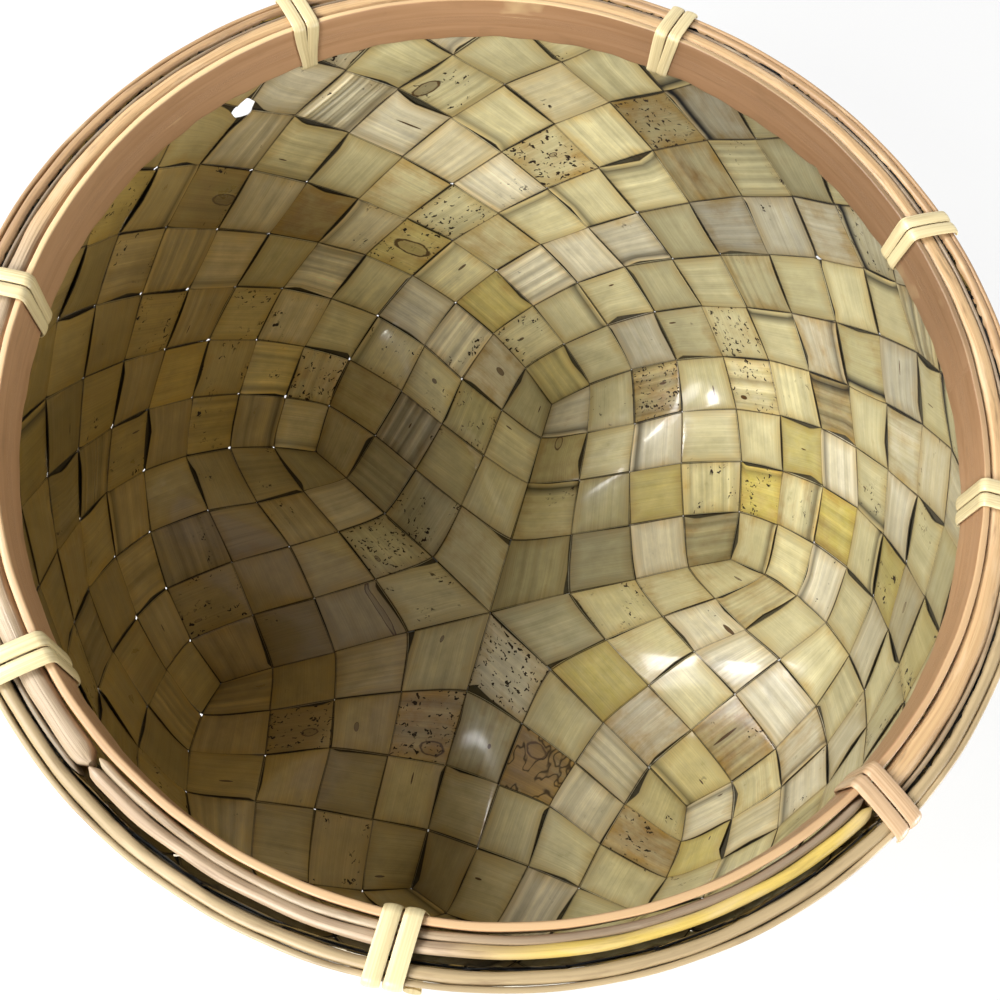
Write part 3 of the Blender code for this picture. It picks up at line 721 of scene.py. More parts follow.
@dataclass
class Plaiting:
    """The twenty-four laths, bent over and under one another along the net."""

    lattice: Lattice
    floor: float
    thickness: float = 0.36 * MM
    relief: float = 0.42 * MM
    wall_relief: float = 0.62 * MM
    side_gap: float = 0.12 * MM
    widest: float = 31.0 * MM
    slit_width: float = 2.4 * MM
    pinhole: float = 0.42 * MM
    pinhole_reach: float = 0.05
    fold_height: float = 0.14 * MM
    crown: float = 0.28 * MM
    tilt: float = 0.40 * MM
    # How far a lath wanders from the middle of its row, and how smoothly its edges cross the net
    drift: float = 0.55 * MM
    slack: float = 0.55
    # The shaded left side is browner than the right, partly from age and partly as painted shade
    shade_browning: float = 0.78
    lath_top: float = 0.2003
    # How square a cell's arch is, and how far under the hoops, and by how much, they press it flat
    arch_power: float = 0.42
    press_reach: float = 8 * MM
    press_share: float = 0.6
    fold_chance: float = 0.2
    base_fold_chance: float = 0.06
    fold_light: float = 1.4
    # Darkness of the painted shade beside a folded edge
    crease_dark: float = 3.2
    # Painted shade on the sides that neighbours cover, where slits show them
    hidden_light: float = -3.9
    mark_chance: float = 0.12
    narrow_share: float = 0.75
    # How far down the laths' ragged ends are torn and painted dark with shade, and how far the rim spreads
    # them, from a little above the hoops' lower edge to well under their top
    raggedness: float = 2.6 * MM
    shaded_ends: float = 7.0 * MM
    ends_spread: float = 3.75 * MM
    spread_above: float = 1 * MM
    spread_below: float = 6 * MM
    seed: int = 41

    KINDS = (
        (LathKind.GREEN, LathKind.YELLOW, LathKind.GREEN, LathKind.GREY),
        (LathKind.YELLOW, LathKind.GREEN, LathKind.GREY, LathKind.GREEN),
        (LathKind.GREEN, LathKind.GREEN, LathKind.GREY, LathKind.GREEN),
        (LathKind.GREY, LathKind.BROWN, LathKind.GREEN, LathKind.GREEN),
        (LathKind.GREEN, LathKind.BROWN, LathKind.GREEN, LathKind.GREY),
        (LathKind.GREEN, LathKind.GREEN, LathKind.GREY, LathKind.GREEN),
    )
    FINISHES = {
        LathKind.GREEN: LeafFinish("dried_palm_leaf_green", "#C6BD90", "#D0C89E"),
        LathKind.GREY: LeafFinish("dried_palm_leaf_grey", "#C8C0A2", "#D8D1B8", ridge=0.4),
        LathKind.YELLOW: LeafFinish("dried_palm_leaf_yellow", "#CABC80", "#D3C78F"),
        LathKind.BROWN: LeafFinish("dried_palm_leaf_brown", "#C3B893", "#CEC5A5", ridge=0.25),
    }
    LOOKS = {
        (0, 0, 0, 0): CellLook(light=-0.9, ridge=0.2),
        (0, 0, 0, 1): CellLook(light=-1.1),
        (0, 0, 0, 3): CellLook(stain=0.3, light=-1.2),
        (0, 0, 1, 1): CellLook(light=-0.9),
        (0, 0, 1, 2): CellLook(gold=0.5, light=0.2),
        (0, 0, 2, 0): CellLook(stain=0.35, mark=Mark(-0.15, -0.7, 1.9, 4.0, 0.2)),
        (0, 0, 3, 2): CellLook(stain=0.15, specks=0.6, light=0.3, gold=0.6, ridge=0.4,
                               mark=Mark(0.2, 0.3, 0.6, 1.6, 1.0)),
        (0, 1, 0, 0): CellLook(light=-0.1),
        (0, 1, 0, 1): CellLook(specks=0.15, light=0.45, gold=0.85),
        (0, 1, 1, 3): CellLook(stain=0.6, specks=0.3, ridge=0.6, mark=Mark(-0.2, 0.2, 0.5, 6.0, 1.0)),
        (0, 1, 2, 1): CellLook(light=0.5, mark=Mark(0.55, 0.7, 0.9, 3.5, 1.0)),
        (0, 2, 0, 0): CellLook(stain=0.1, specks=1.0, light=0.3),
        (0, 2, 0, 1): CellLook(light=-1.3, ridge=0.6, mark=Mark(0.3, 0.1, 0.7, 1.0, 1.0)),
        (0, 2, 1, 1): CellLook(stain=1.0, light=0.9, mark=Mark(-0.5, 0.24, 3.4, 4.3, 0.1)),
        (0, 2, 3, 1): CellLook(stain=0.7, specks=0.5, ridge=0.4),
        (0, 3, 0, 0): CellLook(light=0.0, ridge=0.2),
        (0, 3, 1, 0): CellLook(stain=0.3, specks=1.2, light=0.5, mark=Mark(0.62, -0.36, 2.9, 5.2, 0.15)),
        (0, 3, 1, 2): CellLook(stain=0.55, specks=1.1, light=0.1, mark=Mark(0.3, -0.3, 2.0, 3.0, 0.3)),
        (0, 4, 0, 1): CellLook(specks=0.95, light=-0.1),
        (0, 4, 1, 0): CellLook(light=0.2, mark=Mark(-0.68, 0.0, 1.3, 14.0, 0.35)),
        (0, 4, 3, 2): CellLook(specks=0.2, light=-0.5, ridge=0.4),
        (0, 5, 1, 3): CellLook(stain=0.4, mark=Mark(0.1, 0.15, 1.5, 2.4, 0.9)),
        (1, 0, 1, 10): CellLook(stain=0.35, specks=0.5),
        (1, 0, 2, 9): CellLook(stain=0.3, ridge=0.3),
        (1, 0, 3, 10): CellLook(light=0.2, ridge=1.0),
        (1, 0, 5, 4): CellLook(stain=0.25, specks=0.5, gold=0.5, ridge=0.4,
                               mark=Mark(-0.5, -0.5, 1.0, 1.6, 1.0)),
        (1, 0, 7, 2): CellLook(gold=0.95, light=0.2),
        (1, 0, 7, 4): CellLook(gold=0.5),
        (1, 0, 7, 6): CellLook(stain=0.6, gold=0.5, ridge=0.9),
        (1, 0, 8, 11): CellLook(light=-0.4, ridge=1.0),
        (1, 0, 9, 4): CellLook(gold=0.95, light=0.2),
        (1, 0, 11, 6): CellLook(gold=0.7),
        (1, 0, 17, 2): CellLook(gold=0.6, light=0.6),
        (1, 0, 38, 3): CellLook(gold=0.3),
        (1, 0, 40, 9): CellLook(stain=0.6, ridge=0.3, mark=Mark(0.0, 0.6, 2.2, 6.0, 0.5)),
        (1, 0, 41, 2): CellLook(stain=0.5, specks=0.9, light=-0.2),
        (1, 0, 42, 7): CellLook(stain=0.8, light=-0.3),
        (1, 0, 43, 10): CellLook(specks=0.3, light=-0.1, ridge=1.0),
        (1, 0, 44, 5): CellLook(stain=0.4, specks=0.3, gold=0.4, mark=Mark(0.05, 0.1, 3.3, 8.6, 0.35)),
        (1, 0, 44, 9): CellLook(mark=Mark(0.2, 0.2, 0.35, 5.0, 1.0)),
        (1, 0, 45, 6): CellLook(specks=1.0, ridge=0.3),
        (1, 0, 45, 10): CellLook(specks=0.3, light=0.4, ridge=0.5, mark=Mark(0.5, -0.5, 2.6, 5.8, 0.5)),
        (1, 0, 46, 3): CellLook(stain=0.2, gold=0.55),
        (1, 0, 47, 8): CellLook(stain=0.2, specks=0.9, mark=Mark(0.1, 0.2, 1.0, 1.6, 0.4)),
    }
    # Corners of the net where the laths stand apart: how wide, and how far along the cell
    HOLES = {
        (1, 0, 41, 11): (3.6 * MM, 0.24),
        (1, 0, 5, 9): (1.0 * MM, 0.08),
    }
    # Places along a cell, close together at its ends, where the lath dives
    STATIONS = (0.0, 0.012, 0.03, 0.06, 0.11, 0.18, 0.28, 0.39,
                0.5, 0.61, 0.72, 0.82, 0.89, 0.94, 0.97, 0.988)
    # Places across a lath, close together where a folded edge begins
    WAYS = (-1.0, -0.97, -0.84, -0.8, -0.5, -0.17, 0.17, 0.5, 0.8, 0.84, 0.97, 1.0)
    FOLD_FROM = 0.82
    CREASE = (0.79, 0.845)
    FAR_FROM_MARKS = (9.0, 9.0, 0.0)

    def build(self) -> None:
        """Build and dress every lath."""
        net = Net(self.lattice, self.lath_top, self.slack)
        materials = {kind: finish.material() for kind, finish in self.FINISHES.items()}
        for valley in range(self.lattice.valleys):
            for step in range(self.lattice.steps):
                kind = self.KINDS[valley][step]
                mesh = self.lath(net, valley, step)
                add_piece(mesh, materials[kind], kind.value, f"lath_{valley + 1}_{step + 1}")

    def lean(self, cell: Cell, step: int) -> float:
        """Return how far a lath leans to the middle of the base in a cell, from 0 to 1."""
        on_wall, _, i, j = cell.name
        if on_wall:
            return 0.0
        ring = max(i, j)
        return max(0.0, 1.0 - 0.45 * ring) if step == 0 else max(0.0, 0.6 - 0.2 * ring)

    def shade_and_painted_light(self, place: np.ndarray) -> tuple[float, float]:
        """Return how much a place is browned, partly by age and partly as painted shade, and its painted
        light and shade.
        """
        x, y, height = place
        # The left side is browner, partly from age and partly as painted shade
        brown_share = smoothstep(-x - 0.3 * y, 0.0, 0.1)
        # Painted light and shade by place: lighter on the far wall and to the near right, darker high on the
        # wall and on the right above the base
        high = smoothstep(height, 0.1, 0.19)
        painted_lit_share = max(smoothstep(0.93 * y - 0.37 * x, 0.09, 0.13),
                    0.5 * smoothstep(0.9 * x - 0.45 * y, 0.035, 0.075))
        painted_dark_right = smoothstep(x, 0.02, 0.1) * smoothstep(height, 0.03, 0.1)
        return float(brown_share), float(1.9 * painted_lit_share - 0.9 * high - 1.5 * painted_dark_right)

    def slits(self, corners: Sequence[Corner], v: np.ndarray, side: np.ndarray, shade: Optional[float],
              rng: np.random.Generator) -> np.ndarray:
        """Draw a lath's edges back here and there, and open pinholes where four laths meet.

        Args:
            corners: The cell's corners.
            v: Shares of the way along the cell.
            side: Places across the lath, -1 to 1.
            shade: How shaded the cell is, or None on the base, which has no pinholes and few slits.
            rng: The lath's seeded source of chance.

        Returns:
            How far each point draws back from its neighbour.
        """
        slit = np.zeros_like(v)
        least, pinhole = (-3.0, 0.0) if shade is None else (-1.2, self.pinhole * shade)
        for sign, ends in ((-1, (corners[0], corners[3])), (1, (corners[1], corners[2]))):
            open_by = max(0.0, rng.uniform(least, 1.0)) * self.slit_width
            peak = rng.uniform(0.08, 0.92)
            drawn_back = open_by * np.minimum(v / peak, (1 - v) / (1 - peak))
            for corner, away in zip(ends, (v, 1 - v)):
                wide, reach = self.HOLES.get(corner, (pinhole, self.pinhole_reach))
                drawn_back = drawn_back + wide * np.exp(-(away / reach) ** 2)
            slit = np.where(side * sign > 0, drawn_back, slit)
        return slit

    def mark_rows(self, mark: Optional[Mark], v: np.ndarray, side: np.ndarray, span: np.ndarray,
                  length: float, rng: np.random.Generator) -> np.ndarray:
        """Place a cell's mark on its points, or one that chance gives it.

        Args:
            mark: The mark that the cell is known to have, if any.
            v: Shares of the way along the cell.
            side: Places across the lath, -1 to 1.
            span: The cell's width at each point.
            length: The cell's length.
            rng: The lath's seeded source of chance.

        Returns:
            For each point the way from the mark's middle, in half sizes of the mark, and its fill.
        """
        if mark is None and rng.uniform() < self.mark_chance:
            narrow = rng.uniform() < self.narrow_share
            mark = Mark(rng.uniform(-0.7, 0.7), rng.uniform(-0.6, 0.6),
                        rng.uniform(0.25, 0.45) if narrow else rng.uniform(0.5, 1.0),
                        rng.uniform(1.2, 2.6), 1.0 if narrow else rng.uniform(0.2, 0.9))
        if mark is None:
            return rows(v, *self.FAR_FROM_MARKS)
        return rows(v, (side - mark.across) * span / 2 / MM / mark.wide_mm,
                    (2 * v - 1 - mark.along) * length / 2 / MM / mark.long_mm, mark.fill)

    def cell_rows(self, net: Net, cell: Cell, step: int, drifts: Sequence[float],
                  rng: np.random.Generator) -> dict[str, np.ndarray]:
        """Shape the part of a lath that lies in one cell.

        Args:
            net: The joined-up net.
            cell: The cell.
            step: How far out from the middle the lath crosses its valley.
            drifts: How far the lath has wandered sideways at the cell's two ends.
            rng: The lath's seeded source of chance.

        Returns:
            Rows of points, of normals and of each attribute, and the cell's length.
        """
        v = np.array(self.STATIONS)[:, None] * np.ones(len(self.WAYS))
        side = np.array(self.WAYS)[None, :] * np.ones((len(self.STATIONS), 1))
        near_left, near_right, far_right, far_left = (net.points[key] for key in cell.corners)
        run = (far_left + far_right - near_left - near_right) / 2
        length = np.linalg.norm(run)
        run = run / length
        near, far = (np.linalg.norm(np.cross(b - a, run))
                     for a, b in ((near_left, near_right), (far_left, far_right)))
        span = near + (far - near) * v
        gap = np.maximum(span - self.widest, 2 * self.side_gap) / span
        lean = self.lean(cell, step)
        on_wall = cell.name[0] == 1
        shade, painted_light = self.shade_and_painted_light((near_left + far_right) / 2)
        slit = self.slits(cell.corners, v, side, shade if on_wall else None, rng)
        left = gap * (1 - lean) / 2 + np.where(side < 0, slit, 0.0) / span
        right = gap * (1 + lean) / 2 + np.where(side > 0, slit, 0.0) / span
        wander = (drifts[0] + (drifts[1] - drifts[0]) * v) / span
        u = np.clip(left + wander + (side + 1) / 2 * (1 - left - right), 0.002, 0.998)
        points, normals = net.patch(cell.corners, u, v)

        inwards = 1 if cell.on_inside else -1
        arch = np.sin(math.pi * v) ** self.arch_power
        hoop_edge = self.lattice.rim_bottom
        pressed = smoothstep(points[..., 2], hoop_edge - self.press_reach, hoop_edge)
        tilt = rng.uniform(-1.0, 1.0) * self.tilt * side
        fold_chance = self.fold_chance if on_wall else self.base_fold_chance
        folded = (rng.uniform() < fold_chance) * rng.choice((-1, 1))
        fold = np.where(side * folded > self.FOLD_FROM, smoothstep(np.sin(math.pi * v), 0.05, 0.4), 0.0)
        relief = (self.wall_relief if on_wall else self.relief) + self.crown * (1 - side ** 2)
        lift = ((relief * inwards + tilt) * arch * (1 - self.press_share * pressed)
                + fold * self.fold_height * inwards)

        look = self.LOOKS.get(cell.name, CellLook()) if cell.on_inside else CellLook()
        stain = look.stain + max(0.0, rng.uniform(-1.3, 0.45))
        specks = look.specks + max(0.0, rng.uniform(-0.9, 0.45))
        # Painted light and shade by place are added to the cell's own lightness
        light = look.light + rng.uniform(-0.75, 0.75) * (1 + 0.45 * shade) + painted_light
        gold = look.gold + max(0.0, rng.uniform(-1.5, 0.3))
        ridge = look.ridge + max(0.0, rng.uniform(-1.2, 0.8))
        # Painted shade in the dark line beside a folded edge, and the paler fold
        low, high = self.CREASE
        crease = np.where((np.abs(side) < high) & (side * folded > low), self.crease_dark, 0.0)
        tone = rows(v, stain, specks, light + self.fold_light * fold - crease)
        hidden = rows(v, stain, specks, self.hidden_light)
        return {"points": points + normals * lift[..., None], "normals": normals,
                "across": side * (1 - left - right) * span / 2 / MM, "along": v * length / MM,
                "cell": rows(v, side, 2 * v - 1, 0.0),
                "tone": tone if cell.on_inside else hidden, "tone_under": hidden if cell.on_inside else tone,
                # Browning on the shaded side, partly painted shade, then gold and ridges
                "shade_gold_ridge": rows(v, shade * self.shade_browning, gold, ridge),
                "mark": self.mark_rows(look.mark, v, side, span, length, rng), "length": length / MM}

    def lath(self, net: Net, valley: int, step: int) -> bpy.types.Mesh:
        """Return the mesh of one lath.

        Args:
            net: The joined-up net.
            valley: The valley that the lath crosses.
            step: How far out from the middle it crosses, in cells.

        Returns:
            The mesh, with the attributes that its material reads.
        """
        rng = np.random.default_rng(self.seed + 10 * valley + step)
        parts = []
        travelled = 0.0
        cells = self.lattice.lath_cells(valley, step, self.lath_top)
        drifts = rng.uniform(-self.drift, self.drift, len(cells) + 1)
        for number, cell in enumerate(cells):
            part = self.cell_rows(net, cell, step, drifts[number:number + 2], rng)
            part["along"] = part["along"] + travelled
            travelled += part["length"]
            parts.append(part)
        whole = {key: np.concatenate([part[key] for part in parts]) for key in parts[0] if key != "length"}
        mesh, station, across, upper = strip_mesh(f"plaited_lath_{valley + 1}_{step + 1}",
                                                  len(whole["points"]), len(self.WAYS))
        here = (station, across)
        lift = np.where(upper, 0.5, -0.5) * self.thickness
        co = whole["points"][here] + whole["normals"][here] * lift[:, None]
        self.spread_ends(co)
        co[:, 2] -= self.floor
        co[:, 2] = np.maximum(co[:, 2], np.where(upper, self.thickness, 0.0))
        move_points(mesh, co)
        across_mm, along_mm = whole["across"][here], whole["along"][here]
        set_attribute(mesh, "fibre", rows(across_mm, across_mm, along_mm,
                                          37.0 * (valley * self.lattice.steps + step)))
        for name in ("cell", "mark"):
            set_attribute(mesh, name, whole[name][here])
        # Painted shade: a side that its neighbours cover is painted dark where a slit shows it, and so are
        # the ends in the rim
        tone = np.where(upper[:, None], whole["tone"][here], whole["tone_under"][here])
        end = smoothstep(co[:, 2], self.lattice.rim_top - self.floor - self.shaded_ends,
                         self.lattice.rim_top - self.floor - self.shaded_ends / 2)
        tone[:, 2] -= end * (1.9 + 1.3 * wobble(across_mm, rng, (1.5, 4.0)))
        set_attribute(mesh, "tone", tone)
        shade_gold_ridge = whole["shade_gold_ridge"][here]
        shade_gold_ridge[:, 0] = np.maximum(shade_gold_ridge[:, 0], end)
        set_attribute(mesh, "shade_gold_ridge", shade_gold_ridge)
        self.trim(mesh, rng)
        finish_mesh(mesh)
        return mesh

    def spread_ends(self, co: np.ndarray) -> None:
        """Lead the laths' ends outward between the hoops, behind the cane."""
        low, high = self.lattice.rim_bottom + self.spread_above, self.lattice.rim_top - self.spread_below
        outward = self.ends_spread * smoothstep(co[:, 2], low, high)
        radius = np.hypot(co[:, 0], co[:, 1])
        co[:, :2] *= (1 + outward / radius)[:, None]

    def trim(self, mesh: bpy.types.Mesh, rng: np.random.Generator) -> None:
        """Cut a lath's two ends off under the top of the rim, each a little ragged."""
        bm = bmesh.new()
        bm.from_mesh(mesh)
        top = self.lath_top - self.floor
        cut = bmesh.ops.bisect_plane(bm, geom=bm.verts[:] + bm.edges[:] + bm.faces[:], dist=1e-6,
                                     plane_co=(0.0, 0.0, top), plane_no=(0.0, 0.0, 1.0), clear_outer=True)
        rim = [g for g in cut["geom_cut"] if isinstance(g, bmesh.types.BMEdge) and g.is_boundary]
        bmesh.ops.holes_fill(bm, edges=rim)
        ends = [g for g in cut["geom_cut"] if isinstance(g, bmesh.types.BMVert)]
        around = np.array([math.atan2(v.co.y, v.co.x) for v in ends]) * self.lattice.rim_radius / MM
        for vert, torn in zip(ends, wobble(around, rng, (1.7, 4.0, 11.0))):
            vert.co.z -= min(1.0, abs(torn)) * self.raggedness
        bm.to_mesh(mesh)
        bm.free()


class Section(NamedTuple):
    """A rectangular section of a hoop: where it starts, its size and how its edges are rounded."""

    radius: float
    thickness: float
    bottom: float
    height: float
    rounding: float


@dataclass
class Rim:
    """The two hoops, the canes that cover the laths' ends, and the band outside."""

    lattice: Lattice
    floor: float
    inner_thickness: float = 1.8 * MM
    channel_start: float = 2.5 * MM
    channel_end: float = 9.2 * MM
    outer_thickness: float = 2.6 * MM
    band_thickness: float = 1.2 * MM
    band_height: float = 8.0 * MM
    cane_height: float = 5.2 * MM
    band_seat: float = 0.08 * MM
    joints: tuple[float, float] = (math.radians(-57.0), math.radians(228.5))
    joint_gap: float = 0.6 * MM
    # How far the pale cut edge of the inner hoop reaches down
    cut_depth: float = 0.35 * MM
    # Where the outer hoop's ends meet, under a lashing
    outer_start: float = math.radians(-18.2)
    end_rounding: float = 3.5 * MM
    # Where the inner hoop's lower edge is torn, and how wide and deep each tear is
    tears: tuple = ((math.radians(-139.0), 0.035, 2.2 * MM), (math.radians(-132.0), 0.02, 1.2 * MM),
                    (math.radians(40.0), 0.015, 0.8 * MM))
    # How uneven the strips are: sideways, in thickness, in height and along the hoop's lower edge
    unevenness: float = 0.14 * MM
    swelling: float = 0.05
    rise: float = 0.12 * MM
    ragged_edge: float = 0.25 * MM
    ragged_reach: float = 3 * MM
    # A section's long sides get more points, so that its unevenness can bend them
    long_side: float = 2.5 * MM
    side_cuts: int = 4
    segments: int = 480
    round_steps: int = 4
    seed: int = 7

    # The strips that the canes are split into, in mm: how far out in the channel, how wide, how
    # far under the top of the rim, and how round their edges are
    STRIPS = {"cane_far": (0.0, 4.9, 0.2, 1.9), "cane_far_sliver": (5.0, 1.0, 0.9, 0.4),
              "cane_near": (1.92, 2.6, 0.3, 1.2), "cane_near_sliver": (0.0, 1.9, 0.7, 0.9)}

    def build(self) -> None:
        """Build and dress every piece of the rim but its lashings."""
        # Bamboo turns reddish brown and cane greys with age, and one near strip is still golden
        rim, hoop = self.lattice.rim_radius, self.lattice.hoop_height
        bottom, top = self.lattice.rim_bottom, self.lattice.rim_top
        start, outer = rim + self.channel_start, rim + self.channel_end
        band = outer + self.outer_thickness + self.band_seat
        inner = CaneFinish("split_bamboo_hoop_brown", "#B08864", "#A27A56", "#DDBE8E",
                           cut_above=top - self.floor - self.cut_depth, mottle_share=0.15,
                           right_painted_shade=0.45).material()
        tan = CaneFinish("split_rattan_hoop_tan", "#B4926A", "#967656", "#D8BE96", mottle_share=0.4,
                         turns_to="#B09A74", turns_mm=465.0, soil_share=0.5).material()
        pale = CaneFinish("split_cane_filler_pale", "#CCAA7C", "#B48E64", "#DCC09A", mottle_share=0.6,
                          grain_mm=0.7, ridge_height=0.16, turns_to="#B39D80", turns_mm=500.0,
                          soil_share=0.6).material()
        grey = CaneFinish("split_cane_filler_grey", "#AC9678", "#8A765C", "#C4B498", mottle_share=0.6,
                          grain_mm=0.7, ridge_height=0.16, turns_to="#8E7B64", soil_share=0.6).material()
        gold = CaneFinish("split_cane_filler_golden", "#B8A084", "#9A8266", "#CCB898", mottle_share=0.7,
                          grain_mm=0.7, ridge_height=0.16, turns_to="#D2B65E", soil_share=0.45).material()
        self.ring("hoop_inside", Section(rim, self.inner_thickness, bottom, hoop, 0.5 * MM), inner,
                  "inner_hoop", "inner_hoop")
        self.ring("hoop_outside", Section(outer, self.outer_thickness, bottom, hoop, 1.1 * MM), tan,
                  "outer_hoop", "outer_hoop", self.outer_start)
        outside = Section(band, self.band_thickness, top - self.band_height, self.band_height, 0.5 * MM)
        self.ring("band_outside", outside, tan, "outer_hoop", "outer_band", self.outer_start)
        first, second = self.joints
        gap = self.joint_gap / outer
        for name, finish in (("cane_far", pale), ("cane_far_sliver", grey), ("cane_near", gold),
                             ("cane_near_sliver", grey)):
            offset, width, sunk, rounding = (size * MM for size in self.STRIPS[name])
            section = Section(start + offset, width, top - self.cane_height - sunk, self.cane_height,
                              rounding)
            if name.startswith("cane_far"):
                self.ring(name, section, finish, "rim_cane", "far_rim_cane", first + gap / 2,
                          second - first - gap)
            else:
                self.ring(name, section, finish, "rim_cane", "near_rim_cane", second + gap / 2,
                          FULL_TURN - second + first - gap)

    def ring(self, name: str, section: Section, material: bpy.types.Material, slot: str, node: str,
             start: float = 0.0, sweep: float = FULL_TURN) -> None:
        """Build one hoop, or an arc of one, and dress it.

        Args:
            name: The piece's name.
            section: Its section.
            material: Its material.
            slot: The record's material slot.
            node: The CAD node that it stands for.
            start: The angle where an arc starts.
            sweep: The angle that it covers.
        """
        closed = math.isclose(sweep, FULL_TURN)
        bm = bmesh.new()
        bmesh.ops.create_grid(bm, x_segments=1, y_segments=1, size=0.5)
        for v in bm.verts:
            v.co = Vector((section.radius + (v.co.x + 0.5) * section.thickness, 0.0,
                           section.bottom + (v.co.y + 0.5) * section.height))
        bmesh.ops.bevel(bm, geom=bm.verts[:], offset=section.rounding, segments=self.round_steps,
                        profile=0.5, affect="VERTICES", material=-1)
        bmesh.ops.delete(bm, geom=bm.faces[:], context="FACES_ONLY")
        long_edges = [e for e in bm.edges if e.calc_length() > self.long_side]
        bmesh.ops.subdivide_edges(bm, edges=long_edges, cuts=self.side_cuts)
        bmesh.ops.rotate(bm, verts=bm.verts, cent=(0.0, 0.0, 0.0), matrix=Matrix.Rotation(start, 3, "Z"))
        bmesh.ops.spin(bm, geom=bm.verts[:] + bm.edges[:], cent=(0.0, 0.0, 0.0), axis=(0.0, 0.0, 1.0),
                       angle=sweep, steps=round(self.segments * sweep / FULL_TURN), use_merge=closed)
        if not closed:
            bmesh.ops.holes_fill(bm, edges=[e for e in bm.edges if e.is_boundary])
        mesh = to_mesh(bm, name)
        self.shape(mesh, section, start, None if closed else sweep)
        finish_mesh(mesh)
        add_piece(mesh, material, slot, node)

    def shape(self, mesh: bpy.types.Mesh, section: Section, start: float, sweep: Optional[float]) -> None:
        """Give a ring its oval, its unevenness and its worn places, and the attribute that its grain reads.

        Args:
            mesh: The ring's mesh.
            section: Its section.
            start: The angle where it starts.
            sweep: The angle that it covers, or None where it closes.
        """
        rng = np.random.default_rng(self.seed + round(section.radius * 1e5))
        co = coordinates(mesh).astype(float)
        radius, angle = np.hypot(co[:, 0], co[:, 1]), np.arctan2(co[:, 1], co[:, 0])
        along = np.mod(angle - start + 1e-6, FULL_TURN)
        out = radius - section.radius - section.thickness / 2
        up = co[:, 2] - section.bottom - section.height / 2
        turn = np.arctan2(up, out)
        if sweep is not None:
            # The ends of a cane are cut round
            rest = np.clip(np.minimum(along, sweep - along) * section.radius / self.end_rounding, 0.0, 1.0)
            taper = np.maximum(0.25, np.sqrt(1 - (1 - rest) ** 2))
            out, up = out * taper, up * (0.5 + 0.5 * taper)
        waves = (FULL_TURN / 5, FULL_TURN / 11, FULL_TURN / 17, FULL_TURN / 41)
        share = min(1.0, section.rounding / MM)
        uneven = self.unevenness * share * wobble(along, rng, waves)
        short_waves = (FULL_TURN / 9, FULL_TURN / 23, FULL_TURN / 57)
        swell = 1 + self.swelling * share * wobble(along, rng, short_waves)
        radius = section.radius + section.thickness / 2 + out * swell + uneven
        height = section.bottom + section.height / 2 + up + self.rise * wobble(along, rng, waves[:2])
        if section.radius == self.lattice.rim_radius:
            low = 1 - smoothstep(up, -section.height / 2, -section.height / 2 + self.ragged_reach)
            for place, wide, deep in self.tears:
                off = np.abs(np.mod(angle - place + math.pi, FULL_TURN) - math.pi)
                height += low * deep * (1 - smoothstep(off, wide * 0.3, wide))
            height += low * self.ragged_edge * wobble(along, rng, (FULL_TURN / 31, FULL_TURN / 67))
        new = self.lattice.place(radius, angle, height)
        new[:, 2] -= self.floor
        move_points(mesh, new)
        across = turn * (section.height + section.thickness) / math.pi
        set_attribute(mesh, "fibre", rows(along, across / MM, along * section.radius / MM,
                                          section.radius * 1e4))


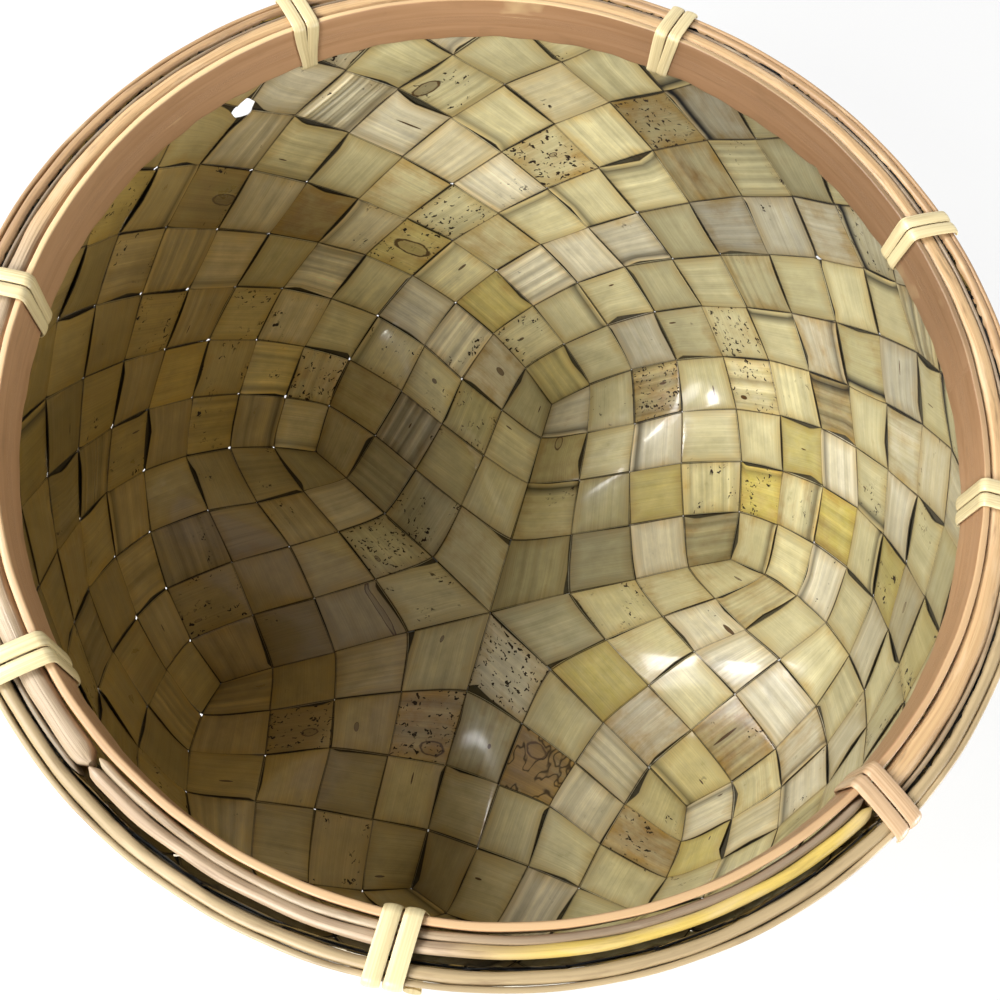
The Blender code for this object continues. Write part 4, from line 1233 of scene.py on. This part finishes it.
@dataclass
class Lashings:
    """Eight bands wound twice round the rim, through the wall under the hoops."""

    lattice: Lattice
    floor: float
    columns: tuple = (42.25, 0.87, 6.9, 12.25, 17.25, 23.25, 28.87, 34.92)
    width: float = 3.9 * MM
    thickness: float = 1.0 * MM
    pitch: float = 3.95 * MM
    turns: int = 2
    seat: float = 0.25 * MM
    reach: float = 13.3 * MM
    bend: float = 1.5 * MM
    bow: float = 0.45 * MM
    # How close the wraps draw together under the inner hoop, one share for each lashing
    gathers: tuple = (0.45, 0.8, 0.9, 1.0, 0.75, 0.9, 1.0, 0.85)
    # How much narrower a gathered wrap gets, and how round the bark is across
    narrowing: float = 0.35
    roundness: float = 0.93
    corner_points: int = 8
    side_points: int = 8

    WAYS = 9
    HANDLED = (5,)

    def build(self) -> None:
        """Build and dress the lashings."""
        # Peeled rattan: cream, smooth and a little glossier than the bark, pinker where it is handled
        cream = CaneFinish("peeled_rattan_lashing", "#DCCC9E", "#C6B284", "#E8DCB6", grain_mm=0.5,
                           roughness=0.36).material()
        handled = CaneFinish("peeled_rattan_lashing_handled", "#CDAE8A", "#B8946E", "#DCC6A2", grain_mm=0.5,
                             roughness=0.36).material()
        for number, (column, gather) in enumerate(zip(self.columns, self.gathers), start=1):
            mesh = self.band(f"lashing_band_{number}", column, gather)
            add_piece(mesh, handled if number in self.HANDLED else cream, "lashing", f"lashing_{number}")

    def route(self) -> np.ndarray:
        """Return the turns' middle line: out from the rim's inner face, height, along the rim."""
        half = self.thickness / 2 + self.seat
        inner, outer = -half, self.reach + half
        low, high = self.lattice.rim_bottom - half, self.lattice.rim_top + half
        corners = ((outer, high, 0.0), (inner, high, 90.0), (inner, low, 180.0), (outer, low, 270.0))
        turn = []
        for out, height, start in corners:
            edge_out = out - math.copysign(self.bend, out - (inner + outer) / 2)
            edge_height = height - math.copysign(self.bend, height - (low + high) / 2)
            bends = np.radians(start + 90.0 * np.linspace(0.0, 1.0, self.corner_points))
            turn.extend(zip(edge_out + self.bend * np.cos(bends), edge_height + self.bend * np.sin(bends)))
        line = np.array(turn * self.turns)
        parts = [line[0]]
        for here, there in zip(line, line[1:]):
            pieces = self.side_points if np.linalg.norm(there - here) > self.width else 1
            parts.extend(here + (there - here) * (n + 1) / pieces for n in range(pieces))
        line = np.array(parts)
        lengths = np.concatenate([[0.0], np.cumsum(np.linalg.norm(np.diff(line, axis=0), axis=1))])
        side = (lengths - lengths[-1] / 2) / (lengths[-1] / self.turns) * self.pitch
        # Pulled tight, the top of a wrap still bows a little over the canes
        share = np.clip((line[:, 0] - inner) / (outer - inner), 0.0, 1.0)
        line[:, 1] += np.where(line[:, 1] > high - self.bend, self.bow * np.sin(math.pi * share), 0.0)
        return np.column_stack([line, side, lengths])

    def band(self, name: str, column: float, gather: float) -> bpy.types.Mesh:
        """Return the mesh of one lashing.

        Args:
            name: The mesh's name.
            column: Its place, in columns of the net from the first valley.
            gather: How close its wraps draw together under the inner hoop, 1 for side by side.

        Returns:
            The mesh, with its fibre attribute.
        """
        angle = self.lattice.first_angle - column * self.lattice.column_angle
        rim, top = self.lattice.rim_radius, self.lattice.rim_top
        half_width = self.width / 2 / rim
        origin = self.lattice.place(rim, angle, top) * (1.0, 1.0, 0.0) - (0.0, 0.0, self.floor)
        along = (self.lattice.place(rim, angle + half_width, top)
                 - self.lattice.place(rim, angle - half_width, top))
        along /= np.linalg.norm(along)
        outward, up = np.array((along[1], -along[0], 0.0)), np.array((0.0, 0.0, 1.0))
        route = self.route()
        low, high = self.lattice.rim_bottom, self.lattice.rim_top
        tight = (1 - smoothstep(route[:, 1], low, high)) * (1 - smoothstep(route[:, 0], 0.0, self.reach))
        route[:, 2] *= 1 - (1 - gather) * tight
        line = origin + outward * route[:, :1] + up * route[:, 1:2] + along * route[:, 2:3]
        ahead = np.gradient(line, axis=0)
        ahead /= np.linalg.norm(ahead, axis=1, keepdims=True)
        through = np.cross(ahead, along)
        through /= np.linalg.norm(through, axis=1, keepdims=True)
        mesh, station, across, upper = strip_mesh(name, len(line), self.WAYS)
        side = np.sin((across / (self.WAYS - 1) - 0.5) * math.pi)
        crown = np.sqrt(1 - self.roundness * side ** 2)
        width = self.width * (1 - self.narrowing * (1 - gather) * tight)
        co = (line[station] + along * (side * width[station] / 2)[:, None]
              + through[station] * (np.where(upper, 0.5, -0.5) * self.thickness * crown)[:, None])
        move_points(mesh, co)
        set_attribute(mesh, "fibre", rows(side, side * self.width / 2 / MM, route[station, 3] / MM,
                                          column * 13.0))
        finish_mesh(mesh)
        return mesh


@dataclass
class Studio:
    """The pale floor, the white surround, the soft lamps and the camera."""

    camera_place: tuple = (-0.01539, -0.14689, 0.40783)
    camera_right: tuple = (0.99436, -0.04754, 0.09477)
    camera_up: tuple = (0.00372, 0.90894, 0.41691)
    camera_back: tuple = (-0.10595, -0.41421, 0.90399)
    focal_px: float = 958.88
    centre_px: tuple = (557.1, 537.0)
    image_px: float = 1000.0
    sensor: float = 36.0
    floor_size: float = 4.0
    # How white the floor shows itself past the basket's foot, and where that starts and is full
    floor_glow: float = 0.65
    clear_from: float = 0.09
    clear_at: float = 0.15
    # How strong the light from all round is, and how dim the ceiling is that gloss mirrors
    surround_light: float = 0.22
    ceiling_light: float = 0.2
    lamp_distance: float = 1.4
    lamp_aim: tuple = (0.0, 0.0, 0.06)

    # Each lamp's bearing and height in degrees, its size in metres and its power in watts
    LAMPS = {"near_left": (-126.0, 35.0, 0.45, 19.5), "far_left": (160.0, 47.0, 0.5, 16.0),
             "left": (-170.0, 45.0, 0.5, 6.0), "low_right": (-28.0, 8.5, 0.5, 18.0)}

    def build(self) -> None:
        """Set up the whole studio."""
        self.add_floor()
        self.add_lamps()
        self.set_world()
        self.add_camera()
        bpy.context.scene.view_settings.view_transform = "Standard"

    def add_floor(self) -> None:
        """Lay a pale floor under the basket."""
        bm = bmesh.new()
        bmesh.ops.create_grid(bm, x_segments=1, y_segments=1, size=self.floor_size)
        mesh = to_mesh(bm, "studio_floor")
        made, tree, paper = new_material("white_paper_floor")
        paper.inputs["Base Color"].default_value = linear("#F4F4F3")
        paper.inputs["Roughness"].default_value = 0.9
        # White paper as the camera sees it, with a light shadow left in it
        glow = add_node(tree, "Emission", {"Color": linear("#FFFFFF")})
        path = add_node(tree, "LightPath")
        place = add_node(tree, "VectorMath", {0: add_node(tree, "TexCoord").outputs["Object"]},
                         operation="LENGTH").outputs[1]
        clear = add_node(tree, "MapRange", {0: place, 1: self.clear_from, 2: self.clear_at, 3: 0.0,
                                           4: self.floor_glow})
        share = add_node(tree, "Math", {0: path.outputs["Is Camera Ray"], 1: clear}, operation="MULTIPLY")
        mixed = add_node(tree, "MixShader", {0: share, 1: paper, 2: glow})
        tree.links.new(mixed.outputs[0], tree.nodes["Material Output"].inputs["Surface"])
        mesh.materials.append(made)
        add_object("studio_floor", mesh)

    def add_lamps(self) -> None:
        """Hang the soft lamps."""
        for name, (bearing, height, size, power) in self.LAMPS.items():
            turn, rise = math.radians(bearing), math.radians(height)
            way = Vector((math.cos(rise) * math.cos(turn), math.cos(rise) * math.sin(turn), math.sin(rise)))
            data = bpy.data.lights.new(name, "AREA")
            data.size = size
            data.energy = power
            lamp = add_object(name, data)
            lamp.location = Vector(self.lamp_aim) + way * self.lamp_distance
            lamp.rotation_mode = "QUATERNION"
            lamp.rotation_quaternion = (-way).to_track_quat("-Z", "Y")

    def set_world(self) -> None:
        """Light softly from all round, and show a white surround under a dim ceiling."""
        world = bpy.data.worlds.new("studio_surround")
        world.use_nodes = True
        tree = world.node_tree
        tree.nodes.clear()
        path = add_node(tree, "LightPath")
        height = add_node(tree, "SeparateXYZ",
                          {0: add_node(tree, "TexCoord").outputs["Generated"]}).outputs[2]
        backdrop = add_node(tree, "MapRange", {0: height, 1: 0.35, 2: 0.6, 3: 1.0, 4: self.ceiling_light})
        mirrored = add_node(tree, "Math", {0: path.outputs["Is Glossy Ray"], 1: backdrop},
                            operation="MULTIPLY")
        seen = add_node(tree, "Math", {0: path.outputs["Is Camera Ray"],
                                       1: path.outputs["Is Transmission Ray"]}, operation="MAXIMUM")
        seen = add_node(tree, "Math", {0: seen, 1: mirrored}, operation="MAXIMUM")
        strength = add_node(tree, "MapRange", {0: seen, 3: self.surround_light, 4: 1.0})
        background = add_node(tree, "Background", {"Color": linear("#FFFFFF"), "Strength": strength})
        add_node(tree, "OutputWorld", {"Surface": background})
        bpy.context.scene.world = world

    def add_camera(self) -> None:
        """Place the camera as the photograph was taken."""
        data = bpy.data.cameras.new("camera")
        data.sensor_width = self.sensor
        data.lens = self.focal_px / self.image_px * self.sensor
        data.shift_x = (self.image_px / 2 - self.centre_px[0]) / self.image_px
        data.shift_y = (self.centre_px[1] - self.image_px / 2) / self.image_px
        data.clip_start = 0.01
        camera = add_object("camera", data)
        axes = Matrix((self.camera_right, self.camera_up, self.camera_back)).transposed()
        camera.matrix_world = Matrix.Translation(self.camera_place) @ axes.to_4x4()
        bpy.context.scene.camera = camera


def main() -> None:
    """Build the basket and the studio."""
    logging.basicConfig(level=logging.INFO, format="%(message)s")
    lattice = Lattice()
    floor = lattice.rim_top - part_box("inner_hoop")[1][2]
    Studio().build()
    Plaiting(lattice, floor).build()
    Rim(lattice, floor).build()
    Lashings(lattice, floor).build()


if __name__ == "__main__":
    main()
